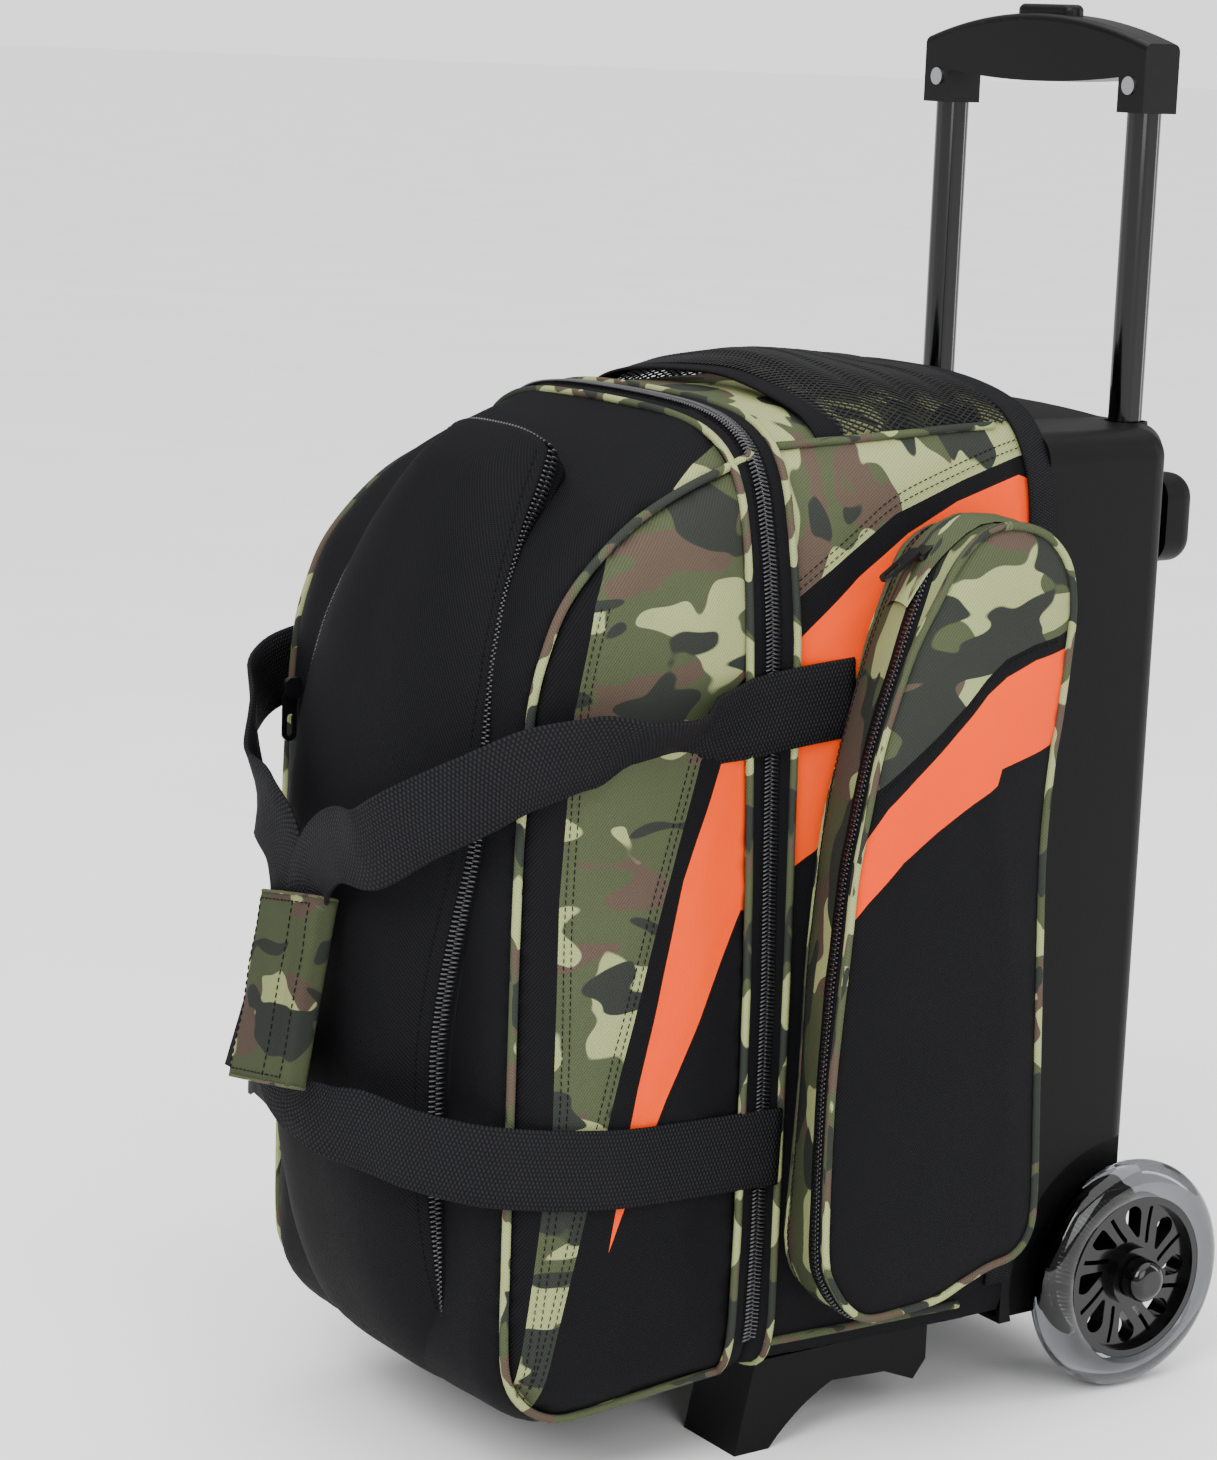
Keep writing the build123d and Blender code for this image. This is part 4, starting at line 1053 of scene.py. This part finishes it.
# front pocket: a crowned face inside a zip, on a low wall
# rows from the bottom up: half width, edge forward and up, middle forward and up, lean to the right
frontPocket = {"rows": [(67, 115, 48, 122, 46, 0), (69, 121, 58, 134, 56, 0), (70, 130, 73, 146, 72, 0),
                        (70, 139, 100, 159, 100, 0), (70, 146, 127, 167, 130, 0), (70, 151, 165, 174, 165, 0),
                        (70, 152.6, 215, 178, 215, 0), (70.5, 152.3, 270, 176.5, 270, 0),
                        (71, 149.5, 316, 172, 318, 0), (74, 142.5, 372, 162, 378, 0.5),
                        (77, 137.5, 400, 155.5, 408, 3), (80, 130, 430, 147.5, 437, 6),
                        (83, 121, 455, 138.5, 461, 9), (84, 111, 475, 130, 482, 10),
                        (83, 103, 489, 122, 496, 10), (80.5, 97, 499, 115, 507, 10),
                        (76, 92, 507, 108, 515, 10), (69, 88, 513.5, 100, 521, 10),
                        (58, 85.5, 518.5, 92.5, 526, 10), (42, 84, 521.5, 87, 528, 10)],
              "square": 3.4, "wave": 1.3, "deep": 13.5,
              "spread": (1.05, 0.97),   # how much wider than the face the wall's foot is, low and at the top
              "bare": 12.2,             # how far back the zip's wall goes before it turns to the foot
              "zip": (6.2, 1.3),        # how far back its middle is, and the pitch of its teeth
              "tooth": (4.3, 1.35, 2.1),
              # the wall's cross-section: back from the face, and out
              "wall": [(0.0, 0.0), (0.7, 1.0), (2.0, 1.0), (2.8, 0.1), (3.4, 0.0), (6.2, 0.0), (9.0, 0.0),
                       (9.6, 0.5), (11.4, 0.6), (12.2, 0.0)]}


def pocketRows():
    # 65 even rows of (width and lean, edge, middle)
    lines = [Track([(row[0], row[5], i * 10.0) for i, row in enumerate(frontPocket["rows"])])]
    lines += [Track([row[k:k + 2] for row in frontPocket["rows"]]) for k in (1, 3)]
    return [[line.at(line.length * i / 64) for line in lines] for i in range(65)]


def makeFrontPocket():
    rows, uvs = [], []
    for i, (spread, edge, middle) in enumerate(pocketRows()):
        half, lean, _ = spread
        row, flat = [], []
        for j in range(41):
            a = j / 20 - 1
            a = math.copysign(1 - (1 - abs(a)) ** 1.25, a)
            p = edge.lerp(middle, 1 - abs(a) ** frontPocket["square"])
            soft = (1 - a ** 4) * math.sin(math.pi * clamp(i / 64)) ** 0.5
            wave = frontPocket["wave"] * ripple(a * half, p.y, 2, 52, 6.2) * soft
            wave += 0.4 * ripple(a * half, p.y, 5, 16, 2.9) * soft
            row.append(Vector((a * half + lean, gussetFront - p.x - wave, p.y)))
            flat.append((a * half, i * 7.9))
        rows.append(row)
        uvs.append(flat)
    piece = gridForm("front_pocket_face", rows[::-1], "black", "front_section", uvs[::-1])
    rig.replaces(piece, "front_pocket")
    # the zip runs up one side, over the top and down the other, on a wall back to the front band
    loop = Track([row[0] for row in rows] + rows[-1][1:-1] + [row[-1] for row in rows[::-1]], smooth=False)
    middle, bare = Vector((0, gussetFront - 100, 300)), frontPocket["bare"]
    low, high = frontPocket["spread"]

    def wallAt(s):
        # point on the face's edge, directions back to the band and outward, how far a shallow wall is squeezed,
        # its foot, and how far the zip stands up
        p = loop.at(s)
        way = (loop.at(s + 3) - loop.at(s - 3)).normalized()
        top = ease(p.z, 480, 517)
        t = profile.near(Vector((gussetFront - p.y, p.z)))[1] * profile.length + 3 * top
        foot = bandPoint(p.x * (low + (high - low) * ease(p.z, 440, 490)), t) + Vector((0, 1.6, -0.6))
        back = foot - p
        squeeze = min(1.0, back.length / frontPocket["deep"])
        back = (back - way * back.dot(way)).normalized()
        out = way.cross(back).normalized()
        if out.dot(p - middle) < 0:
            out = -out
        return p, back, out, squeeze, foot, 2.4 * top

    count = 300
    walls = [wallAt(loop.length * k / count) for k in range(count + 1)]
    strips = [[p + back * reach * squeeze + out * (lift + rise * min(1.0, reach / 2.8))
               for p, back, out, squeeze, foot, rise in walls] for reach, lift in frontPocket["wall"]]
    strips += [[(p + back * bare * squeeze).lerp(foot, share)
                + out * (1.6 * math.sin(share * math.pi) + rise * (1 - share))
                for p, back, out, squeeze, foot, rise in walls] for share in (0.33, 0.66, 1.0)]
    uvs = [[(loop.length * k / count, n * 2.5) for k in range(count + 1)] for n in range(len(strips))]
    picks = [1 if 3 <= n <= 8 else 0 for n in range(len(strips) - 1) for k in range(count)]
    gridForm("front_pocket_wall", strips, ["black", "tape"], "front_section", uvs, picks=picks)
    s, turn = 6.0, 1
    (deep, pitch), (long, wide, tall) = frontPocket["zip"], frontPocket["tooth"]
    while s < loop.length - 6:
        p, back, out, squeeze, _, rise = wallAt(s)
        centre = p + back * deep * squeeze + out * (0.9 + rise)
        span = back * (-long * turn * squeeze)
        heaps["frontTeeth"].bar(centre - span * 0.2, centre + span, wide, tall, out)
        s, turn = s + pitch, -turn
    for first, second in ((1, 2), (-2, -3)):
        line = Track([row[first].lerp(row[second], 0.4) + Vector((0, -0.4, 0)) for row in rows])
        heaps["frontThread"].stitches(line, wide=0.5)


makeFrontPocket()
print("front pocket done")


# side pockets: crowned faces with camo piping, a zip down the front edge, woodland walls darkened with painted shade
# outlines are forward of the axle and up, from the top round the front
sidePocket = {
    "face": [(154, 488.5), (168, 484), (181, 472), (192.5, 454), (206, 431), (217, 403), (224.4, 378.7),
             (230, 349.5), (235.5, 320), (238, 285), (241, 250), (243.5, 210), (243.5, 158.5), (242, 124.4),
             (236, 110), (226.5, 97.5), (213.2, 89.6), (190.7, 89.7), (168, 92), (152, 98), (135.7, 103.5),
             (119.1, 107), (109.6, 117), (107, 135.4), (109.5, 190), (113.5, 270), (115.5, 322), (113.5, 363),
             (109.9, 388.7), (106.9, 416.5), (105, 444), (108, 462), (113.9, 473), (125, 482.5), (139, 487.5)],
    "base": [(160, 481), (172, 477), (182, 468), (190, 450), (200, 423), (209.4, 388.5), (215, 364),
             (219, 340), (222, 308), (224, 280), (225.3, 257), (226.7, 205), (230, 152.5), (231.7, 126),
             (227.2, 108), (217, 96), (204, 91), (186, 92), (168, 95), (152, 100), (136, 105), (122, 109),
             (114, 118), (111, 136), (110, 190), (110, 270), (110, 322), (110, 363), (109, 389), (108, 416),
             (108, 440), (111, 457), (118, 468), (130, 476), (145, 480)],
    "out": 170.2, "foot": 125.6, "crown": 7.5, "wave": 1.2, "thick": 2.4,
    "zip": (0.012, 0.475),   # where its ends are, as shares of the way round the face
    "tooth": (2.9, 1.15, 1.7), "pitch": 1.2,
    # its tape: up and down from the zip's middle as shares of the wall, and out
    "tape": [(-0.15, -0.6), (-0.145, 0.6), (-0.05, 0.9), (0.05, 0.9), (0.13, 0.8), (0.135, -0.6)],
    # wall: share of the way out, share of the way from the base outline to the face's, swell
    "wall": [(0, 0, 0), (0.03, 0.05, 1.5), (0.15, 0.25, 3.6), (0.35, 0.5, 4.4), (0.55, 0.68, 3.6),
             (0.66, 0.76, 2.8), (0.74, 0.82, 2.1), (0.80, 0.86, 1.6), (0.87, 0.91, 1.0), (0.93, 0.95, 0.5),
             (1, 1, 0)],
    "camoEdge": [(100, 436), (114, 432), (132, 429), (151, 423), (163, 414), (175, 402), (190, 389), (208, 375),
                 (222, 364), (262, 342)],
    "band": [(98, 426), (113, 424), (131, 421), (150, 414), (162, 406), (171, 397), (186, 383), (204, 367),
             (219, 353), (232, 335), (240, 319), (258, 292), (258, 270), (242, 289), (228, 307), (210, 326),
             (189, 340), (168, 352), (154, 360), (151, 368), (123, 374), (98, 380)]}


def makeSidePocket(side, word):
    face, base = Track(sidePocket["face"], closed=True), Track(sidePocket["base"], closed=True)
    outline = [(p.x, p.y) for p in Track(face.dense[::3], 6.0, True, False).points]

    def point(f, z):
        gap = face.near(Vector((f, z)))[0]
        lift = sidePocket["crown"] * (1 - math.exp(-gap / 15.0))
        inner = ease(gap, 3, 30)
        wave = (sidePocket["wave"] * ripple(f, z, side, 46, 9.4) + 0.35 * ripple(f, z, 1, 15, 3.8)) * inner
        # one soft upright fold in the upper half
        fold = math.exp(-((f - 0.28 * (z - 330) - 150) / 9) ** 2)
        wave += 1.6 * fold * inner * ease(z, 230, 330) * (1 - ease(z, 370, 420))
        return Vector((side * (sidePocket["out"] + lift + wave), axleY - f, z))

    def form(f, z):
        return point(f, z), normalOf(point, f, z, -side)
    top = sidePocket["camoEdge"] + [(262, 520), (90, 520)]
    piece = cutCloth("side_pocket_face_" + word, outline, form, "chassis",
                     [("camo", top), ("orange", sidePocket["band"])], 6.0, sidePocket["thick"], 0.6)
    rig.replaces(piece, "side_pocket_" + word)
    centre = Vector((172.0, 290.0))
    steps = sidePocket["wall"]

    def wallAt(t, level, lift=0.0):
        # point of the wall: t runs round the pocket, level from the bag out to the face
        p = face.at(face.length * t)
        q = base.at(base.length * base.near(p)[1])
        lean = swell = 0.0
        for (a, g, b), (c, h, d) in zip(steps, steps[1:]):
            if a <= level <= c + 1e-6:
                mix = (level - a) / (c - a)
                lean, swell = g + (h - g) * mix, b + (d - b) * mix
        r = q.lerp(p, lean)
        away = (r - centre).normalized()
        soft = math.sin(clamp(level) * math.pi)
        u, v = t * 900, level * 40
        fold = soft * (2.2 * ripple(u, v, side, 60, 5.1) + 0.5 * ripple(u, v, side, 17, 2.1))
        r = r + away * (swell + fold + lift)
        x = sidePocket["foot"] + (sidePocket["out"] - sidePocket["foot"]) * level
        return Vector((side * x, axleY - r.x, r.y)), Vector((0, -away.x, away.y))

    count = 220
    rows = [[wallAt(k / count, step[0])[0] for k in range(count)] for step in steps]
    uvs = [[(face.length * k / count, step[0] * 50) for k in range(count)] for step in steps]
    # the walls wear the woodland darkened as painted shade
    gridForm("side_pocket_wall_" + word, rows[::side], "camoWrap", "chassis", uvs[::side], closedU=True)
    # zip: a black tape with its coil, running down the front of the wall from the slider
    zipFrom, zipTo = sidePocket["zip"]

    def zipLevel(t):
        return 0.58 + 0.265 * ease(t, zipFrom + 0.01, zipFrom + 0.09)
    marks = [zipFrom + (zipTo - zipFrom) * k / 110 for k in range(111)]
    rows = [[wallAt(t, zipLevel(t) + across, lift)[0] for t in marks] for across, lift in sidePocket["tape"]]
    uvs = [[(face.length * t, n * 4.0) for t in marks] for n in range(6)]
    gridForm("side_zip_tape_" + word, rows[::side], "tape", "chassis", uvs[::side])
    s, turn = zipFrom * face.length + 3, -1
    long, wide, tall = sidePocket["tooth"]
    while s < zipTo * face.length - 2:
        t = s / face.length
        low, up = wallAt(t, zipLevel(t) - 0.05, 1.5)
        high = wallAt(t, zipLevel(t) + 0.05, 1.5)[0]
        middle, half = (low + high) / 2, (high - low).normalized() * long * turn
        heaps["chassisTeeth"].bar(middle - half * 0.25, middle + half, wide, tall, up)
        s, turn = s + sidePocket["pitch"], -turn
    pipe = Track([(side * (sidePocket["out"] + 0.8), axleY - p.x, p.y) for p in face.points], 4.5, True)
    pipeAlong("side_pocket_piping_" + word, pipe, 2.2, "chassis")
    foot = Track([wallAt(k / 160, 0.03, 0.6)[0] for k in range(160)], 4.5, True)
    pipeAlong("side_pocket_seam_" + word, foot, 1.5, "chassis")
    thread = heaps["chassisThread"]
    thread.stitches(Track([(f, z - 2.6, 0) for f, z in sidePocket["camoEdge"] if 106 < f < 240]), form)
    for level in (0.09, 0.17):
        rows = [wallAt(k / 200, level, 0.3) for k in range(100)]
        line, out = Track([row[0] for row in rows]), [row[1] for row in rows]
        s = 2.0
        while s < line.length - 3:
            up = out[int(s / line.length * 99)]
            thread.bar(line.at(s), line.at(s + 2.3), 0.6, 0.6, up)
            s += 3.6
    # garage: a folded flap of cloth over the top end of the zip
    garage = []
    for k in range(13):
        t = (-0.055 + 0.125 * k / 12) % 1.0
        gape = ease(k / 12, 0.55, 1.0)
        garage.append([wallAt(t, 0.22 + (0.60 - 0.16 * gape) * w, 1.2 + 8.4 * w * (1 - w) + 2.6 * w * gape)[0]
                       for w in (n / 6 for n in range(7))])
    gridForm("zip_garage_" + word, garage[::-side], "camoTrim", "chassis",
             [[(k * 6.0, n * 6.0) for n in range(7)] for k in range(13)])


makeSidePocket(1, "right")
makeSidePocket(-1, "left")
print("side pockets done")


# carry loops and their wrap
# stations: out from the middle, forward of the axle, up; then, where the band isn't upright and 39 wide,
# the direction across it and its width
upright = (0, 0, 1, 39.0)
sewn = {"upper": [(127.6, 207, 400), (128.2, 236, 398), (128.6, 264, 395)],
        "lower": [(127.6, 241, 172), (128.3, 268, 173)]}
loops = {"thick": 2.3, "bend": (234, 345),   # where the bend between the two halves starts and ends
         "upper": {
             "right": [(131, 292, 391, 0.25, 0, 0.95, 38), (136, 318, 389, 0.75, 0.1, 0.65, 35),
                       (138, 340, 389, 0.7, 0.15, 0.7, 35), (136, 368, 387, 0.3, 0.1, 0.95, 38),
                       (129, 400, 380, 0.1, 0, 1, 39), (119, 424, 368, 0.05, -0.1, 1, 39),
                       (98, 445, 352, -0.05, -0.25, 1, 39), (74, 455, 336, -0.3, -0.2, 0.9, 39)],
             "left": [(130, 292, 392), (131.5, 322, 390, 0, 0, 1, 38), (133, 352, 389, 0.05, 0, 1, 37),
                      (130.5, 377, 387, 0.1, 0.05, 0.97, 37), (121, 401, 382, 0.1, 0.05, 0.97, 38),
                      (105, 418.5, 374, 0.1, 0, 1, 39), (82, 429, 360, 0.2, -0.05, 0.97, 39),
                      (58, 441, 342, 0.3, -0.1, 0.9, 39)]},
         "lower": {
             "right": [(129, 300, 174), (130, 340, 176), (128, 380, 181), (118, 414, 186), (92, 436, 190),
                       (66, 448, 194)],
             "left": [(130, 300, 174), (132, 330, 175), (133, 356, 177), (130.5, 381, 180), (119.5, 401, 183),
                      (101, 415, 187), (80, 429, 192), (58, 442, 198), (34, 453, 206, 0, 0, 1, 37)]},
         # the ends that turn into the wrap, from the bag's middle to the right
         "upperEnd": {"right": [(48, 455, 333, -0.35, 0, 0.94), (27, 453, 321, -0.75, 0, 0.66),
                                (15, 452, 302, -0.98, 0, 0.2), (13, 453, 284, -1, 0, 0)],
                      "left": [(-36, 449, 334, 0.4, 0, 0.92), (-14, 451, 322, 0.75, 0, 0.66),
                               (-3, 452, 302, 0.98, 0, 0.2), (-2, 453, 284, 1, 0, 0)]},
         "lowerEnd": {"right": [(46, 458, 195, 0.1, 0, 0.99), (30, 467, 202, 0.6, 0, 0.8),
                                (22, 472, 216, 0.95, 0, 0.3), (20, 472, 234, 1, 0, 0)],
                      "left": [(-8, 463, 205, -0.6, 0, 0.8), (6, 470, 216, -0.95, 0, 0.3),
                               (11, 472, 234, -1, 0, 0)]}}
sleeve = {"bottom": (20.9, -262.0, 210.0), "top": (5.6, -237.0, 297.5), "half": 28.5, "deep": 17.0, "tilt": 9.5,
          "lap": 14.0, "fill": 0.45, "stitch": (2.4, 3.8, 0.6, 0.7)}   # stitch: length, pitch, width, height


def makeLoops():
    for side, word in ((1, "right"), (-1, "left")):
        for level in ("upper", "lower"):
            marks = []
            for station in sewn[level] + loops[level][word]:
                across, forward, up, dx, dy, dz, wide = station + upright[len(station) - 3:]
                marks.append((Vector((side * across, axleY - forward, up)), Vector((side * dx, dy, dz)), wide))
            for across, forward, up, dx, dy, dz in loops[level + "End"][word]:
                marks.append((Vector((across, axleY - forward, up)), Vector((dx, dy, dz)), 36))
            start, end = [(0, (axleY - forward) / mm, 0.3) for forward in loops["bend"]]
            piece = bandAlong("carry_strap_%s_%s" % (level, word), marks, 39.0, loops["thick"], "webbing",
                              ("chassis", "front_section", start, end))
            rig.replaces(piece, "carry_loop_" + word, "strap_anchors")


def makeSleeve():
    low, high = Vector(sleeve["bottom"]), Vector(sleeve["top"])
    tilt = math.radians(sleeve["tilt"])
    across = Vector((math.cos(tilt), 0, math.sin(tilt)))
    out = (high - low).cross(across).normalized()
    out = -out if out.y > 0 else out
    long = (high - low).length
    steps, around = 22, 80

    def halfAt(t):
        return sleeve["half"] - 1.2 * math.sin(math.pi * t)

    def flapAt(x):
        # the overlapping flap lies over the left part of the front
        return 1.1 * ease(x, sleeve["lap"] + 1.2, sleeve["lap"] - 1.2)

    def ringOf(t, shrink, deep):
        # starts at the back, in equal steps round the wrap
        row = []
        for k in range(480):
            turn = 2 * math.pi * k / 480 - math.pi / 2
            c, s = math.cos(turn), math.sin(turn)
            x = math.copysign(abs(c) ** 0.3, c) * halfAt(t) * shrink
            d = math.copysign(abs(s) ** 0.55, s) * sleeve["deep"] / 2 * deep + (flapAt(x) if s > 0 else 0)
            d += 0.9 * ripple(x, t * long, s * 9, 24, 4.9)
            row.append(low.lerp(high, t) + across * x + out * d)
        loop = Track(row, 0.8, True)
        return [loop.at(loop.length * k / around) for k in range(around)]

    # both ends are turned in
    rings = [(0.09, 0.9, 0.72), (0.0, 0.93, 0.8)] + [(i / steps, 1.0, 1.0) for i in range(steps + 1)]
    rows = [ringOf(*ring) for ring in rings + [(1.0, 0.93, 0.8), (0.91, 0.9, 0.72)]]
    levels = [-0.05, -0.02] + [i / steps for i in range(steps + 1)] + [1.02, 1.05]
    uvs = [[(k * 2.1 + 1290, level * long + 40) for k in range(around)] for level in levels]
    picks = [1 if n in (0, len(rows) - 2) else 0 for n in range(len(rows) - 1) for k in range(around)]
    # the wrap wears the woodland darkened as painted shade
    piece = gridForm("handle_wrap_sleeve", rows, ["camoWrap", "black"], "front_section", uvs, closedU=True,
                     picks=picks)
    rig.replaces(piece, "handle_wrap")
    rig.padded(piece, sleeve["fill"])
    for t, word in ((0.0, "low"), (1.0, "high")):
        pipeAlong("sleeve_hem_" + word, Track(ringOf(t, 0.985, 0.95), closed=True), 0.9, "front_section")
    thread = heaps["frontThread"]

    def front(x, t):
        # on the surface of the wrap's front
        c = (abs(x) / halfAt(t)) ** (1 / 0.3)
        d = (1 - min(c, 1.0) ** 2) ** 0.275 * sleeve["deep"] / 2 + flapAt(x)
        return low.lerp(high, t) + across * x + out * (d + 0.3 + 0.9 * ripple(x, t * long, 9, 24, 4.9))

    stitch, pitch, wide, thick = sleeve["stitch"]
    for x in (-sleeve["half"] + 5.5, sleeve["lap"] - 3.5, sleeve["half"] - 4.5):
        s = 3.0
        while s < long - 5:
            thread.bar(front(x, s / long), front(x, (s + stitch) / long), wide, thick, out)
            s += pitch
    for t in (0.04, 0.96):
        x = -sleeve["half"] + 7
        while x < sleeve["half"] - 8:
            thread.bar(front(x, t), front(x + stitch, t), wide, thick, out)
            x += pitch
    # hook strip that shows behind the left edge
    marks = [(low.lerp(high, 0.03 + 0.1 * i) - across * (sleeve["half"] + 2.5 - 1.3 * i) + out * 2.0,
              across, 22 - 1.6 * i) for i in range(8)]
    bandAlong("sleeve_hook_strip", marks, 20, 1.8, "black", "front_section", slot="camo_fabric")


makeLoops()
makeSleeve()
print("loops done")


# each heap of teeth stands for its half's coil
coils = {"chassisTeeth": "rear_zip_coil", "frontTeeth": "front_zip_coil"}
for key, heap in heaps.items():
    piece = heap.make()
    if key in coils:
        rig.replaces(piece, coils[key])


# finishes of the moulded and metal parts that keep their solid form
dress = {"moulded_black": "tub", "gloss_black": "gloss", "grip_plastic": "grip", "clear_urethane": "clear",
         "steel": "steel", "aluminium_tube": "bareTube", "black_tube": "tube", "board": "board",
         "lining": "lining", "zip_metal": "darkMetal", "zip_coil": "coil", "webbing": "webbing",
         "body_fabric": "black", "camo_fabric": "camo", "mesh": "net"}
slotOf = {row["node"]: row["material_slot"] for row in frame["record"]["subparts"]}
for node, thing in frame["nodes"].items():
    key = dress[slotOf[node]]
    for cell in thing.material_slots:
        cell.link = "OBJECT"
        cell.material = finishes[key]
print("solid parts dressed")

makeCamera()
world = bpy.data.worlds.new("studio")
bpy.context.scene.world = world
world.use_nodes = True
sky = world.node_tree.nodes["Background"].inputs
sky["Color"].default_value = (1, 1, 1, 1)
# the wall of the studio is as bright as the lit floor
seen = world.node_tree.nodes.new("ShaderNodeLightPath")
bright = world.node_tree.nodes.new("ShaderNodeMapRange")
bright.inputs["To Min"].default_value, bright.inputs["To Max"].default_value = studio["sky"], studio["backdrop"]
world.node_tree.links.new(seen.outputs["Is Camera Ray"], bright.inputs["Value"])
world.node_tree.links.new(bright.outputs["Result"], sky["Strength"])
sun = bpy.data.lights.new("ceiling", "SUN")
sun.energy, sun.angle = studio["sun"], math.radians(85)
bpy.context.collection.objects.link(bpy.data.objects.new("ceiling", sun))
for name, lamp in studio["lamps"].items():
    makeLight(name, *lamp)
reach = studio["floor"]
ground = bpy.data.meshes.new("floor")
corners = [(-reach, -reach, 0), (reach, -reach, 0), (reach, reach, 0), (-reach, reach, 0)]
ground.from_pydata(corners, [], [(0, 1, 2, 3)])
paper = Finish("paper floor", Roughness=0.85)
grain = paper.cloud(paper.place("Object"), 3.0, 3.0)
paper.feed(Base_Color=paper.blend(grain, hexColour("#F4F4F4"), hexColour("#FFFFFF")))
ground.materials.append(paper.made)
floor = bpy.data.objects.new("floor", ground)
bpy.context.collection.objects.link(floor)
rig.stage(floor)

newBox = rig.bounds()
with open("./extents.json", "w") as out:
    json.dump({"cad": [list(c) for c in cadBox], "visual": [list(c) for c in newBox]}, out)
print("size", [[round(v, 4) for v in c] for c in cadBox], [[round(v, 4) for v in c] for c in newBox])
